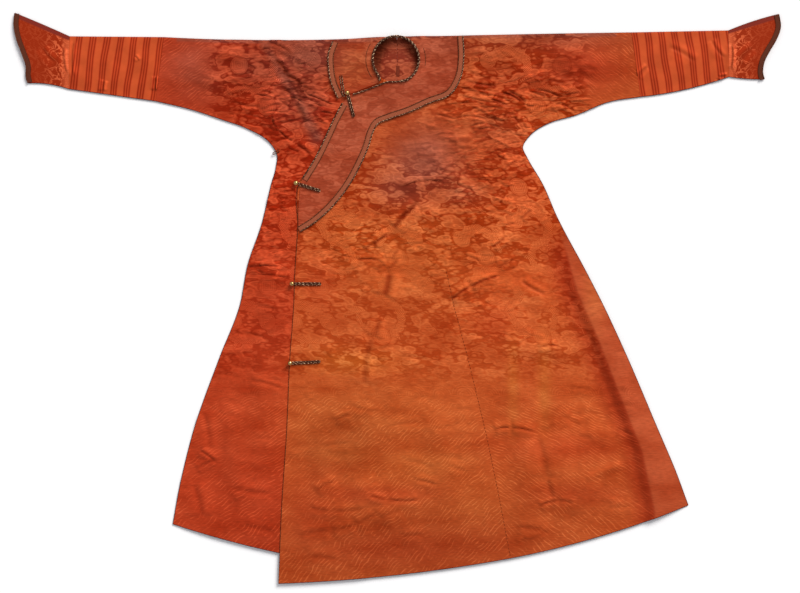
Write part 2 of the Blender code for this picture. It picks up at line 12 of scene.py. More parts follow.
import bmesh
import bpy
import numpy as np
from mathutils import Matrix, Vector


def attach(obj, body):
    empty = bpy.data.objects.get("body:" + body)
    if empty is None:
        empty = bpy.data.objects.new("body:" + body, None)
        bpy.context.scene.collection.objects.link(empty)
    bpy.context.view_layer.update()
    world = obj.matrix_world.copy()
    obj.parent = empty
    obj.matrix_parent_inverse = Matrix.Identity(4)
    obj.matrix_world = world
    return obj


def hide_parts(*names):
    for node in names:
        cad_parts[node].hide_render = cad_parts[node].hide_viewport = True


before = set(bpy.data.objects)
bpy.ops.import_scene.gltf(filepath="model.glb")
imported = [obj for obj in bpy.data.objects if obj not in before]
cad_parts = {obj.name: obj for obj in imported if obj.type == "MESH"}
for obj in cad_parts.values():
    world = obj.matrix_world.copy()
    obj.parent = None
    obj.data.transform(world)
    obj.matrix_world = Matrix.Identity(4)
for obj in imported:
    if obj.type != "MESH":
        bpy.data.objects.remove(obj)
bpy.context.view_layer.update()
MM = 0.001
print("packed solids:", len(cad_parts))

# %% [markdown]
# ## Camera
# The robe was photographed from straight above, so the camera hangs over its middle and looks down. A long
# lens from five metres keeps the picture free of perspective. The picture is 800 pixels wide and shows
# 2.04 m of floor, which gives the focal length.

# %% Camera over the robe
PICTURE_WIDTH = 2.04
CAMERA_HEIGHT = 5.0
SENSOR = 36.0
PICTURE_MIDDLE = (0.00765, 0.0038)

room = bpy.context.scene
camera_data = bpy.data.cameras.new("camera")
camera_data.sensor_width = SENSOR
camera_data.lens = SENSOR * CAMERA_HEIGHT / PICTURE_WIDTH
camera = bpy.data.objects.new("camera", camera_data)
camera.location = (*PICTURE_MIDDLE, CAMERA_HEIGHT)
room.collection.objects.link(camera)
room.camera = camera
print(f"lens {camera_data.lens:.1f} mm")

# %% [markdown]
# ## The cut of the robe
# Each half of the robe is one length of silk that runs from the front hem over the shoulder to the back hem.
# A row of a table is one section across the panel: in_ is its end on the centre seam, out_ its end on the
# side seam, and bow lifts its middle. Smooth rows between the table's rows give the curved outline, so the
# tables stay as short as a tailor's notes. They repeat the tables of the solids, so that both agree.

# %% Sections of the panels


def table(kind, rows):
    """Rows of plain numbers as rows of a kind whose columns have names."""
    return tuple(kind(*row) for row in rows)


Section = namedtuple("Section", "in_x in_y out_x out_y bow back_y")
LEFT_SECTIONS = table(Section, (
    (288, -663, 742, -528, -12, -681), (260, -513, 709, -439, -10, -520), (226, -347, 660, -324, -4, -345),
    (180, -156, 586, -150, 0, -156), (143, -18, 525, -18, 0, -18), (125, 66, 480, 70, 0, 70),
    (92, 200, 406, 210, 0, 205), (70, 290, 371, 290, 0, 290), (50, 368, 329, 362, 0, 368),
    (43, 398, 320, 384, 0, 395), (36, 428, 341, 417, 0, 420), (30, 455, 385, 445, 0, 450),
    (25, 492, 455, 466, 0, 480), (21, 527, 540, 500, 0, 510), (18, 552, 620, 513, 0, 540),
))
RIGHT_SECTIONS = table(Section, (
    (-107, -683, -571, -576, -11, -681), (-95, -500, -549, -460, -6, -500),
    (-80, -315, -510, -312, -2, -315), (-65, -150, -451, -150, 0, -150), (-52, -18, -399, -15, 0, -18),
    (-45, 66, -381, 80, 0, 70), (-35, 190, -344, 190, 0, 190), (-28, 290, -320, 290, 0, 290),
    (-22, 352, -308, 334, 0, 350), (-18, 392, -306, 368, 0, 390), (-14, 422, -328, 400, 0, 420),
    (-10, 450, -380, 431, 0, 450), (-6, 482, -450, 456, 0, 480), (-4, 515, -530, 482, 0, 510),
    (-3, 547, -615, 502, 0, 540),
))
Edge = namedtuple("Edge", "x y bow")
OVERLAP_EDGE = table(Edge, (
    (-301, -727, -11), (-292, -520, 0), (-280, -340, 0), (-272, -156, 0), (-262, -18, 0), (-259, 66, 0),
    (-252, 180, 0), (-250, 288, 0), (-222, 334, 0), (-201, 368, 0), (-186, 402, 0), (-172, 434, 0),
    (-158, 462, 2), (-148, 482, 5), (-139, 498, 10),
))
NECK = (-3.0, 607.0)
NECK_RADIUS = 59.0
CENTRE_TURN = -69.0
LEFT_FOLD_TURN = 72.0
UNDER_TURN = -90.0
RIGHT_FOLD_TURN = -252.0
LEFT_SEAM = ((620, 513), (597, 675))
RIGHT_SEAM = ((-615, 502), (-594, 663))
LEFT_WRIST = ((846, 564), (844, 680))
RIGHT_WRIST = ((-836, 533), (-834, 665))
LEFT_FOLD_BOW = 1
RIGHT_FOLD_BOW = -8
UNDERARM_BOW = -7  # the left sleeve band sags along its underarm edge
CuffRow = namedtuple("CuffRow", "along out_x out_y bow")
LEFT_CUFF = table(CuffRow, (
    (0.0, 936, 558, -2), (0.12, 932, 573, -1), (0.3, 935, 600, 0), (0.5, 950, 631, 0), (0.68, 967, 660, 0),
    (0.85, 977, 690, -1), (1.0, 973, 722, 3),
))
RIGHT_CUFF = table(CuffRow, (
    (0.0, -941, 548, 5), (0.12, -945, 562, 3), (0.3, -945, 590, 1), (0.5, -957, 626, 0),
    (0.68, -969, 659, 0), (0.85, -976, 696, -2), (1.0, -974, 725, 1),
))
SHOULDER = (
    (-974, 725), (-838, 666), (-594, 664), (-446, 660), (-286, 655), (-145, 656),
    (-31, 663), (43, 667), (186, 671), (416, 673), (607, 676), (840, 681), (974, 722),
)
Band = namedtuple("Band", "out_x out_y in_x in_y")
FACING_OVER = table(Band, (
    (168, 668, 34, 655), (170, 612, 56, 612), (162, 561, 51, 584), (135, 518, 34, 561), (84, 497, 8, 550),
    (28, 472, -26, 548), (-22, 455, -80, 528), (-50, 442, -124, 512), (-61, 423, -139, 495),
    (-71, 390, -157, 462), (-94, 337, -184, 404), (-120, 290, -208, 356), (-158, 240, -240, 304),
    (-210, 192, -250, 240), (-246, 169, -251, 180),
))
FACING_UNDER = table(Band, (
    (-163, 654, -44, 650), (-174, 624, -60, 623), (-174, 584, -60, 592), (-168, 550, -51, 571),
    (-150, 508, -46, 548),
))
print("sections:", len(LEFT_SECTIONS) + len(RIGHT_SECTIONS))

# %% [markdown]
# ## Smooth curves through a table
# A spline that passes through every row, with its slope weighted by how far the rows lie apart, never
# overshoots a short row beside a long one. Everything is worked out for whole arrays of points at once,
# which is what keeps a cloth of fifty thousand points quick to make.

# %% Curves and distances


def eased(value):
    """0 below 0, 1 above 1, and a smooth step between."""
    value = np.clip(value, 0.0, 1.0)
    return value * value * (3.0 - 2.0 * value)


def row_gaps(rows):
    """How far each row lies from the next, at the end where they are further apart."""
    steps = np.diff(np.array(rows, float), axis=0)
    gaps = np.hypot(steps[:, 0], steps[:, 1])
    if steps.shape[1] >= 4:
        gaps = np.maximum(gaps, np.hypot(steps[:, 2], steps[:, 3]))
    return gaps


def through(rows, reach, gaps=None):
    """The table's rows with smooth rows between them, none further apart than reach."""
    keys = np.array(rows, float)
    if gaps is None:
        gaps = row_gaps(rows)
    slopes = np.diff(keys, axis=0) / gaps[:, None]
    before, after = gaps[:-1, None], gaps[1:, None]
    inner = (slopes[:-1] * after + slopes[1:] * before) / (before + after)
    tangents = np.vstack([slopes[:1], inner, slopes[-1:]])
    made = []
    for k, gap in enumerate(gaps):
        count = max(1, math.ceil(gap / reach))
        t = (np.arange(count) / count)[:, None]
        near = 2 * t**3 - 3 * t**2 + 1
        leave = (t**3 - 2 * t**2 + t) * gap
        arrive = (t**3 - t**2) * gap
        start, end = near * keys[k], (1 - near) * keys[k + 1]
        made.append(start + leave * tangents[k] + end + arrive * tangents[k + 1])
    return np.vstack([*made, keys[-1:]])


def across(rows, shares):
    """Points of every section at the given shares of its width, as two grids, x and y."""
    rows = np.array(rows, float)
    in_x, in_y, out_x, out_y, bow = (rows[:, k, None] for k in range(5))
    shares = np.asarray(shares)[None, :]
    return in_x + (out_x - in_x) * shares, in_y + (out_y - in_y) * shares + bow * 4 * shares * (1 - shares)


def along_line(points, x, y):
    """For each place: its distance from a line through the points, how far along, and which side."""
    nearest, reached, side = np.full(np.shape(x), 1e9), np.zeros(np.shape(x)), np.zeros(np.shape(x))
    travelled = 0.0
    for (ax, ay), (bx, by) in zip(points, points[1:]):
        run_x, run_y = bx - ax, by - ay
        length = math.hypot(run_x, run_y)
        t = np.clip(((x - ax) * run_x + (y - ay) * run_y) / length**2, 0, 1)
        gap = np.hypot(ax + run_x * t - x, ay + run_y * t - y)
        closer = gap < nearest
        nearest = np.where(closer, gap, nearest)
        reached = np.where(closer, travelled + t * length, reached)
        side = np.where(closer, np.sign((y - ay) * run_x - (x - ax) * run_y), side)
        travelled += length
    return nearest, reached, side


def distance_to(points, x, y):
    """For each place, its distance from a line through the points."""
    return along_line(points, x, y)[0]


def between(start, end, share):
    """The point at a share of the way from start to end."""
    return tuple(a + (b - a) * share for a, b in zip(start, end))


def outer_line(rows):
    """The points where the rows of a table end on the outside."""
    return [(row.out_x, row.out_y) for row in rows]


def stacked(*parts):
    """Arrays and plain numbers put together as the columns of points."""
    return np.stack(np.broadcast_arrays(*parts), axis=-1)


print("a smooth row count:", len(through([row[:5] for row in LEFT_SECTIONS], 4.0)))

# %% [markdown]
# ## Heights of the layers
# The back lies on the floor. The right front lies on it, and the overlap lies on the right front, one
# thickness of silk and a little air higher. The front floats a few millimetres up between its seams, where
# air is caught between the layers. These are the same rules as in the solids.

# %% Levels without creases
SILK = 1.2
TRIM = 1.0
SEAM_GAP = 0.3
LAYER_GAP = 0.6
REST_GAP = 0.4
BACK_LEVEL = SILK / 2
SEAM_LEVEL = 2.2
FOLD_RISE = 1.4
FOLD_RISE_REACH = 40.0
LOFT = 2.2
LOFT_REACH = 120.0
OVERLAP_STEP = SILK + LAYER_GAP
FACING_AIR = 0.2
FACING_STEP = SILK / 2 + TRIM / 2 + LAYER_GAP + FACING_AIR
BRAID_STEP = TRIM + LAYER_GAP
NECK_LIFT = 4.5
NECK_LIFT_REACH = 45.0
NAPE_CURL = 5.0
NAPE_START = 632.0
NAPE_RUN = 30.0
NAPE_HALF_WIDTH = 45.0
LEFT_SIDE = [*outer_line(LEFT_SECTIONS), LEFT_WRIST[0], *outer_line(LEFT_CUFF[:1])]
RIGHT_SIDE = [*outer_line(RIGHT_SECTIONS), RIGHT_WRIST[0], *outer_line(RIGHT_CUFF[:1])]
Fold = namedtuple("Fold", "x0 y0 x1 y1 half_width height")
TOP_FOLDS = table(Fold, (
    (300, -110, 352, -640, 62, 5.5), (398, -160, 432, -590, 50, 4.5), (120, -10, 262, 62, 46, 4.5),
    (262, 40, 400, -24, 44, 4.5), (255, -128, 470, -134, 40, 3.5), (-36, -70, -30, -270, 44, 3.5),
    (-130, -440, 10, -600, 52, 4.5), (84, -250, 135, -540, 52, 4.5), (-200, -300, -172, -590, 48, 4),
    (440, -566, 500, -440, 46, 4.5), (470, -330, 560, -365, 40, 4), (5, 150, 90, 262, 46, 4),
    (60, 380, 190, 250, 48, 4), (218, 520, 318, 410, 48, 6), (262, 585, 520, 500, 44, 4.5),
    (350, 625, 540, 585, 40, 3.5), (200, 100, 330, 190, 46, 4), (-150, 120, -60, 40, 44, 3.5),
))
UNDER_FOLDS = table(Fold, (
    (-345, 540, -292, 425, 44, 5.5), (-290, 600, -225, 530, 40, 4.5), (-556, 600, -400, 528, 40, 4),
    (-480, 632, -330, 606, 34, 3), (-375, 110, -318, 84, 34, 4), (-520, -380, -430, -410, 44, 4),
    (-440, -230, -400, -540, 52, 4.5), (-340, -110, -352, -300, 34, 3.5),
))
SideRidge = namedtuple("SideRidge", "x y height")
SIDE_RIDGE = table(SideRidge, (
    (412, 168, 0), (428, 122, 0), (454, 20, 6), (510, -107, 8), (569, -260, 8.5), (620, -388, 8.5),
    (652, -540, 7),
))
RIDGE_RISE = 30.0
RIDGE_FALL = 95.0
RIDGE_TOP = 0.85  # the rise ends near the strip's edge, where the light strip begins


def read_off(rows, at):
    """A table of (place, value) pairs read off at the given places."""
    rows = sorted(rows)
    return np.interp(at, [row[0] for row in rows], [row[1] for row in rows])


def neck_distance(x, y):
    return np.hypot(x - NECK[0], y - NECK[1])


def fold_height(folds, x, y):
    """The highest of the large folds at each place, rounded waves that fade towards their ends."""
    height = np.zeros(np.shape(x))
    for fold in folds:
        run_x, run_y = fold.x1 - fold.x0, fold.y1 - fold.y0
        length = math.hypot(run_x, run_y)
        share = ((x - fold.x0) * run_x + (y - fold.y0) * run_y) / length**2
        aside = np.abs((x - fold.x0) * run_y - (y - fold.y0) * run_x) / length
        wave = np.cos(np.pi / 2 * np.clip(aside / fold.half_width, 0, 1)) ** 2
        height = np.maximum(height, fold.height * wave * eased(share * 3) * eased((1 - share) * 3))
    return height


def side_ridge_height(x, y):
    """Height of the raised strip along the left side."""
    edge = read_off([(row.y, row.x) for row in SIDE_RIDGE], y)
    height = read_off([(row.y, row.height) for row in SIDE_RIDGE], y)
    return height * eased((x - edge) / RIDGE_RISE + RIDGE_TOP) * (1 - eased((x - edge) / RIDGE_FALL))


def front_level(x, y):
    """Level of the front without its step, folds and creases: low at the sides, lifted round the neck."""
    side = np.minimum(distance_to(LEFT_SIDE, x, y), distance_to(RIGHT_SIDE, x, y))
    shoulder = distance_to(SHOULDER, x, y)
    lift = NECK_LIFT * np.exp(-(((neck_distance(x, y) - NECK_RADIUS) / NECK_LIFT_REACH) ** 2))
    loft = LOFT * eased(side / LOFT_REACH) * eased(shoulder / LOFT_REACH)
    return SEAM_LEVEL + FOLD_RISE * eased(side / FOLD_RISE_REACH) + loft + lift


def overlap_edge_x(y):
    return read_off([(edge.y, edge.x) for edge in OVERLAP_EDGE], y)


def seam_x(y):
    """Where the centre front seam runs."""
    return read_off([(row.in_y, row.in_x) for row in LEFT_SECTIONS], y)


def back_level(x, y):
    """Level of the back, which curls up at the nape."""
    curl = eased((y - NAPE_START) / NAPE_RUN) * np.exp(-(((x - NECK[0]) / NAPE_HALF_WIDTH) ** 2))
    return BACK_LEVEL + NAPE_CURL * curl


print("side ridge at its middle: %.1f mm" % side_ridge_height(np.array(620.0), np.array(-300.0)))

# %% [markdown]
# ## Creases
# Thin silk that has been folded away for years keeps sharp creases, and they are what the eye reads first.
# Each row below is one of them: where it starts and ends, how far its middle bends to the
# left, how wide it is, and its height. A negative height is a valley, pressed in between two low swells, so
# that no crease dips into the layer below. Small crumples between them come from a seeded draw in zones, each
# with its own direction, length and depth.

# %% Creases listed one by one
Crease = namedtuple("Crease", "x0 y0 x1 y1 bend width height")
TOP_CREASES = table(Crease, (
    # chest and upper left front
    (-12, 174, 52, 242, 3, 8, -4.8), (48, 240, 70, 268, -3, 5, -1.8), (8, 279, 131, 291, 13, 6, -3.2),
    (149, 288, 198, 270, 3, 7, -3), (148, 210, 263, 215, 5, 6, -2.4), (237, 241, 283, 252, -3, 5, -2.4),
    (315, 200, 347, 226, 2, 5, -3), (270, 181, 303, 189, 2, 5, -2.6), (242, 129, 276, 158, -2, 5, -3.6),
    (252, 122, 286, 150, -2, 4, 1.8), (117, 151, 145, 150, 1, 5, -1.8), (173, 108, 211, 93, 2, 5, -2.6),
    (138, -6, 187, 28, 3, 6, -4), (187, 28, 262, 56, 4, 6, -4.4), (315, 46, 382, 9, -5, 8, -3),
    (301, 119, 343, 121, 2, 5, -1.8), (303, 98, 258, 74, -4, 8, -2.8), (-62, 133, -20, 164, 2, 6, -4.2),
    (-147, 109, -115, 102, 1, 4, -2.4), (-101, 97, -49, 97, 2, 5, -3.2), (-49, 97, -30, 81, 1, 4, -2.6),
    (-192, 104, -166, 108, 1, 4, -1.6), (3, 149, 29, 169, 1, 4, -1.8), (-163, 123, -143, 143, 1, 5, -1.8),
    (-137, 227, -92, 237, 2, 5, -1.6), (6, 124, -16, 92, -3, 5, -3), (2, 104, -28, 70, 4, 6, -3),
    (-20, 66, -34, 2, 3, 14, -3.8), (-52, 70, -30, 84, 2, 5, -2.4), (-82, 124, -58, 136, 2, 5, -3.4),
    (10, 383, 96, 391, 4, 4, -1.8), (-72, 365, 3, 362, 2, 4, -1.4), (110, 409, 192, 408, 2, 5, 2.2),
    (110, 397, 196, 399, -2, 5, -1.6), (230, 413, 291, 384, 2, 3.6, 2.4), (188, 435, 228, 443, 4, 5, -2.8),
    (228, 443, 262, 430, 3, 5, -1.8), (235, 505, 282, 487, 3, 5, -3.4), (265, 523, 319, 496, 5, 6, -3.8),
    (319, 496, 350, 486, -2, 5, -2.4), (354, 530, 417, 510, 4, 5, -2.6), (161, 460, 231, 452, 5, 6, -2.6),
    (270, 452, 287, 483, 3, 5, -2.6), (307, 457, 329, 425, 3, 5, -2.4), (268, 322, 313, 353, 3, 5, -3.2),
    (302, 340, 339, 343, 1, 4, -1.8), (110, 296, 131, 293, 1, 4, -1.8), (237, 238, 275, 256, 2, 5, -2),
    (270, 205, 314, 218, -2, 5, -1.8), (110, 309, 171, 307, 2, 5, 2), (250, 301, 298, 309, 2, 5, 1.8),
    (128, 306, 212, 309, -3, 5, 1.6),
    # left shoulder and sleeve, fanned out from the collar braid
    (171, 609, 200, 620, 2, 5, -1.8), (176, 596, 263, 612, 4, 5, -2.2), (180, 578, 258, 556, -4, 6, -2.6),
    (168, 556, 262, 541, -5, 6, -3), (172, 540, 275, 515, -4, 5, 2.2), (160, 516, 275, 497, -5, 6, -2.6),
    (120, 486, 183, 498, 3, 5, -2.4), (78, 469, 154, 451, 4, 5, -2.2), (262, 624, 292, 610, 2, 5, -2),
    (280, 528, 331, 494, 4, 6, -3.4), (380, 556, 439, 533, 5, 6, -2.6), (404, 518, 493, 545, 4, 6, 3),
    (400, 505, 470, 522, 3, 5, -2.2), (292, 465, 326, 416, 4, 6, -3), (330, 575, 415, 602, 8, 5, -1.6),
    (345, 480, 440, 492, 4, 5, -1.6), (430, 500, 498, 506, 2, 4, 1.4),
    # lower left front
    (247, -337, 290, -331, 3, 6, -3.4), (290, -331, 352, -343, 3, 6, -3.4),
    (361, -531, 413, -516, 3, 6, -3.6), (413, -516, 450, -526, 3, 6, -3),
    (358, -127, 408, -120, 2, 5, -2.8), (478, -463, 581, -422, 4, 14, 2.6),
    (354, -349, 376, -462, 6, 16, -2.6), (376, -462, 396, -515, 3, 12, -2.2),
    (418, -300, 470, -330, 2, 10, -1.6), (560, -335, 600, -352, 2, 8, -1.8),
    (300, -585, 390, -600, 4, 10, -1.8), (440, -230, 500, -238, 3, 7, -1.4),
    # overlap below the waist
    (-54, -86, -36, -54, 2, 6, -2.6), (-48, -50, -60, -100, 3, 9, -3), (-62, -96, -84, -226, -7, 11, -3.1),
    (-177, -144, -163, -128, 1, 5, -2.2), (-160, -314, -115, -296, 3, 6, -3.4),
    (-233, -252, -199, -240, 2, 5, -1.8), (-72, -140, -8, -122, 3, 7, -1.6),
    (-208, -493, -153, -464, 3, 6, -3.6), (-90, -497, -48, -464, 4, 8, -2),
    (-69, -500, -25, -513, -3, 6, -3.6), (-25, -513, 62, -512, -5, 7, -3.6),
    (-225, -533, -168, -542, -3, 8, -2.4), (-168, -542, -74, -533, -5, 8, -2.4),
    (-166, -592, -106, -576, -3, 8, -3), (-106, -576, -54, -546, -3, 7, -3.2),
    (-251, -608, -168, -594, 4, 10, -2.6), (-95, -597, -59, -590, 2, 5, -2.2),
    (43, -464, 103, -478, 3, 7, -2.6), (-43, -564, 14, -539, 4, 10, -2.2), (14, -609, 67, -606, 3, 9, -2.2),
    (130, -430, 175, -445, 3, 8, -1.6), (-190, -380, -120, -372, 4, 8, -1.4),
    (-20, -330, 60, -318, 4, 9, -1.3), (-230, -660, -150, -668, 3, 10, -1.8),
))
UNDER_CREASES = table(Crease, (
    # right shoulder and sleeve
    (-316, 648, -264, 620, 3, 5, -3.2), (-312, 607, -282, 566, 7, 7, -4.4),
    (-282, 566, -240, 540, 5, 7, -4.4), (-240, 540, -200, 526, -2, 5, -3),
    (-235, 520, -160, 489, 2, 4.5, -3.6), (-226, 532, -156, 500, 3, 4.5, 2.8),
    (-196, 474, -158, 466, 2, 5, -3.2), (-208, 473, -171, 444, -4, 6, 3),
    (-232, 500, -190, 486, 2, 4, -2.4), (-300, 540, -262, 498, 6, 8, -3),
    (-262, 498, -235, 440, 5, 9, -2.6), (-462, 614, -385, 604, 7, 4, -1.8),
    (-446, 558, -380, 571, 3, 4, -2.4), (-446, 548, -418, 556, 1, 4, 2), (-434, 638, -362, 640, 3, 5, -2.4),
    (-362, 627, -371, 600, 3, 5, -2), (-330, 655, -300, 640, 1, 4, -1.8), (-318, 470, -302, 430, -6, 5, -3),
    (-302, 430, -262, 398, -5, 5, -2.8), (-312, 462, -296, 424, -6, 4, 2),
    (-316, 390, -281, 408, 2, 5, -2.4), (-278, 381, -250, 371, 1, 5, -2.8),
    (-258, 391, -219, 361, 3, 8, -3.4), (-352, 520, -318, 512, 3, 4, 1.8),
    (-430, 520, -396, 534, 2, 4, 1.8), (-420, 500, -350, 488, -5, 7, -2),
    (-500, 560, -452, 545, 3, 7, -1.4), (-390, 470, -340, 452, 3, 6, -2),
    # right front beside the overlap
    (-319, 279, -261, 257, 3, 5, -2.8), (-384, 78, -293, 80, 3, 5, -3.2), (-358, 71, -335, 52, 2, 5, -2.6),
    (-381, 59, -264, 48, 4, 6, -3), (-330, 160, -290, 170, 2, 6, -1.8), (-345, 120, -300, 128, 2, 6, -1.6),
    (-300, 230, -272, 210, 2, 6, -1.8), (-503, -388, -462, -417, 2, 6, -3.4),
    (-512, -438, -462, -413, 3, 6, -2.8), (-495, -288, -478, -390, 4, 12, -2.4),
    (-520, -472, -500, -560, 4, 14, -2.8), (-380, -209, -286, -235, 4, 8, -2.4),
    (-421, -484, -316, -497, -5, 12, -2), (-391, -585, -310, -600, 4, 12, -1.6),
    (-420, -90, -330, -104, 4, 8, -1.6), (-430, -150, -360, -140, 3, 9, -1.4),
    (-360, -20, -300, -34, 3, 7, -1.6),
))
print("creases placed by hand:", len(TOP_CREASES) + len(UNDER_CREASES))

# %% Small crumples drawn in zones
Zone = namedtuple("Zone", "x0 y0 x1 y1 count angle spread length width height")
TOP_ZONES = table(Zone, (
    (60, 200, 340, 500, 90, 8, 35, 44, 5, 2), (190, 470, 500, 640, 46, -12, 25, 50, 5, 1.9),
    (-230, 20, 300, 220, 80, 10, 35, 38, 5, 1.5), (150, -110, 520, 60, 34, 6, 30, 46, 6, 1.3),
    (-260, -640, 640, -120, 46, 12, 30, 70, 9, 1.2), (360, 180, 400, 300, 8, 45, 20, 40, 5, 1.6),
))
UNDER_ZONES = table(Zone, (
    (-470, 430, -190, 640, 60, -12, 35, 44, 5, 2), (-390, 60, -270, 420, 44, 8, 30, 34, 5, 1.7),
    (-560, -600, -300, 40, 30, 10, 30, 60, 9, 1.2),
))


def crumples(zones, seed):
    """Creases of uneven length, direction and depth, drawn in each zone."""
    draw = random.Random(seed)
    made = []
    for zone in zones:
        for _ in range(zone.count):
            x, y = draw.uniform(zone.x0, zone.x1), draw.uniform(zone.y0, zone.y1)
            angle = math.radians(zone.angle + draw.uniform(-zone.spread, zone.spread))
            reach = zone.length * draw.uniform(0.5, 1.3) / 2
            over, up = reach * math.cos(angle), reach * math.sin(angle)
            height = zone.height * draw.uniform(0.3, 1.2) * draw.choice((-1, -1, 1))
            width = zone.width * draw.uniform(0.8, 1.4)
            bend = reach * draw.uniform(-0.3, 0.3)
            made.append(Crease(x - over, y - up, x + over, y + up, bend, width, height))
    return made


TOP_CRUMPLES = crumples(TOP_ZONES, 11)
UNDER_CRUMPLES = crumples(UNDER_ZONES, 12)
print("crumples:", len(TOP_CRUMPLES) + len(UNDER_CRUMPLES))

# %% Relief of the creases
VALLEY_SWELL = 2.4  # how many times wider than the valley its two swells reach
MOST_RELIEF = 9.0
SHARPNESS = 0.66
STEEPNESS = 1.5
SHADE_DEPTH = 3.8  # a crease this deep gets the full painted shade, a shallow one hardly any
CREST_PLACE = 1.7  # the crests beside a valley, in widths of the valley, where a painted highlight lies
CREST_WIDTH = 0.75
CALM = 0.9  # how much of the creases a facing keeps down, to this distance from its middle
CALM_REACH = 78.0
CALM_FADE = 22.0
FLAP_MARGIN = 5.0  # the overlap steps down off the right front's edge after this margin
FLAP_RUN = 40.0
SEAM_HOLD = 0.5  # the centre seam holds the creases down by this much, up to the collar
SEAM_HOLD_WIDTH = 4.0
SEAM_HOLD_TOP = 480.0
UNDER_EDGE_RUN = 22.0  # the right front's creases end this softly at the overlap's edge


def bent_line(crease, pieces=6):
    """Points along a crease, with its middle bent aside."""
    run = Vector((crease.x1 - crease.x0, crease.y1 - crease.y0))
    aside = Vector((-run.y, run.x)).normalized() * crease.bend
    points = []
    for step in range(pieces + 1):
        t = step / pieces
        point = Vector((crease.x0, crease.y0)) + run * t + aside * 4 * t * (1 - t)
        points.append((point.x, point.y))
    return points


def relief(creases, x, y):
    """Height of the creases at each place, and its painted shading: 1 for full painted shade in a valley, below
    0 for a painted highlight on a crest.
    """
    height, shade, swell, valley, crest = (np.zeros(np.shape(x)) for _ in range(5))
    for crease in creases:
        reach = 3 * VALLEY_SWELL * crease.width + abs(crease.bend)
        near = (x > min(crease.x0, crease.x1) - reach) & (x < max(crease.x0, crease.x1) + reach)
        near &= (y > min(crease.y0, crease.y1) - reach) & (y < max(crease.y0, crease.y1) + reach)
        if not near.any():
            continue
        line = bent_line(crease)
        gap, along, _ = along_line(line, x[near], y[near])
        share = along / math.hypot(crease.x1 - crease.x0, crease.y1 - crease.y0)
        fade = eased(share * 6) * eased((1 - share) * 6)
        sharp = np.exp(-((gap / (SHARPNESS * crease.width)) ** 2))
        place = CREST_PLACE * crease.width if crease.height < 0 else 0.0
        crest_highlight = fade * np.exp(-(((gap - place) / (CREST_WIDTH * crease.width)) ** 2))
        crest[near] = np.maximum(crest[near], crest_highlight * abs(crease.height) / SHADE_DEPTH)
        if crease.height < 0:
            beside = np.exp(-((gap / (VALLEY_SWELL * crease.width)) ** 2))
            swell[near] = np.maximum(swell[near], -crease.height * beside * fade)
            valley[near] = np.maximum(valley[near], -crease.height * sharp * beside * fade)
            shade[near] = np.maximum(shade[near], (crease.height / SHADE_DEPTH) ** 2 * sharp * fade)
        else:
            height[near] += crease.height * sharp * fade
    height = MOST_RELIEF * np.tanh(STEEPNESS * (height + (swell - valley)) / MOST_RELIEF)
    return height, np.clip(shade - crest * (1 - shade), -1, 1)


FACING_MIDDLE = [between((row.out_x, row.out_y), (row.in_x, row.in_y), 0.5) for row in FACING_OVER]
UNDER_FACING_MIDDLE = [between((row.out_x, row.out_y), (row.in_x, row.in_y), 0.5) for row in FACING_UNDER]


def calm(x, y, middle):
    """Low under a collar facing, whose second layer keeps the silk smooth."""
    return 1 - CALM * eased((CALM_REACH - distance_to(middle, x, y)) / CALM_FADE)


def top_surface(x, y):
    """Level and crease shade of the overlap and the left front."""
    under_edge = read_off([(row.in_y, row.in_x) for row in RIGHT_SECTIONS], y)
    step = OVERLAP_STEP * (1 - eased((x - under_edge - FLAP_MARGIN) / FLAP_RUN))
    height, shade = relief([*TOP_CREASES, *TOP_CRUMPLES], x, y)
    quiet = calm(x, y, FACING_MIDDLE)
    seam = SEAM_HOLD * np.exp(-(((x - seam_x(y)) / SEAM_HOLD_WIDTH) ** 2)) * (y < SEAM_HOLD_TOP)
    rest = np.maximum(fold_height(TOP_FOLDS, x, y), side_ridge_height(x, y))
    return front_level(x, y) + step + rest + height * quiet * (1 - seam), shade * quiet


def under_surface(x, y):
    """Level and crease shade of the right front."""
    height, shade = relief([*UNDER_CREASES, *UNDER_CRUMPLES], x, y)
    clear = eased((overlap_edge_x(y) - x) / UNDER_EDGE_RUN) * calm(x, y, UNDER_FACING_MIDDLE)
    return front_level(x, y) + fold_height(UNDER_FOLDS, x, y) + height * clear, shade * clear


def top_level(x, y):
    return top_surface(x, y)[0]


def under_level(x, y):
    return under_surface(x, y)[0]


print("deepest crease: %.1f mm" % min(crease.height for crease in TOP_CREASES))

# %% [markdown]
# ## What is painted on the cloth
# A woven pattern follows the cloth, not the room. So every point of a panel carries its place on the flat
# silk: u, how far it lies from the centre seam, and v, how far up the robe. Dragons and roundels mirror each
# other across the seam, as on a loom that weaves a robe's halves side by side, and the clouds run on freely.
# Other painted values say where clouds give way to the sea at the hem, where the silk has browned or stayed
# bright, and where a crease has painted shade in its valley or a painted highlight on its crest.

# %% Where the pattern changes
CLOUD_HEM = -205.0  # clouds above, waves and slanting sea lines below
WAVE_BAND = (-290.0, -200.0)
SLEEVE_SEA = (462.0, 500.0)  # on the sleeves the sea begins this far out
FieldLines = namedtuple("FieldLines", "slant bend scale")
SEA_LINES = {
    "overlap": FieldLines(1.45, -0.00045, 0.62),
    "left": FieldLines(2.92, -0.00144, 0.52),
    "right": FieldLines(2.65, -0.00133, 0.52),
}
SLEEVE_SLANT = 1.35
SLEEVE_SCALE = 0.62
SLEEVE_FROM = 440.0  # the sleeve's pattern begins at this height
SLEEVE_RUN = 40.0
STRIP_TOP = 190.0  # the plain strip at the left side ends here
WAVE_FADE = 30.0
SEA_FADE = 60.0
HEM_FADE = 130.0  # the clouds thin out over this height
LOW_CLOUDS = 0.6  # strength of the clouds' figure below this height, where the silk is worn
LOW_CLOUDS_TOP = 10.0
LOW_CLOUDS_RUN = 220.0
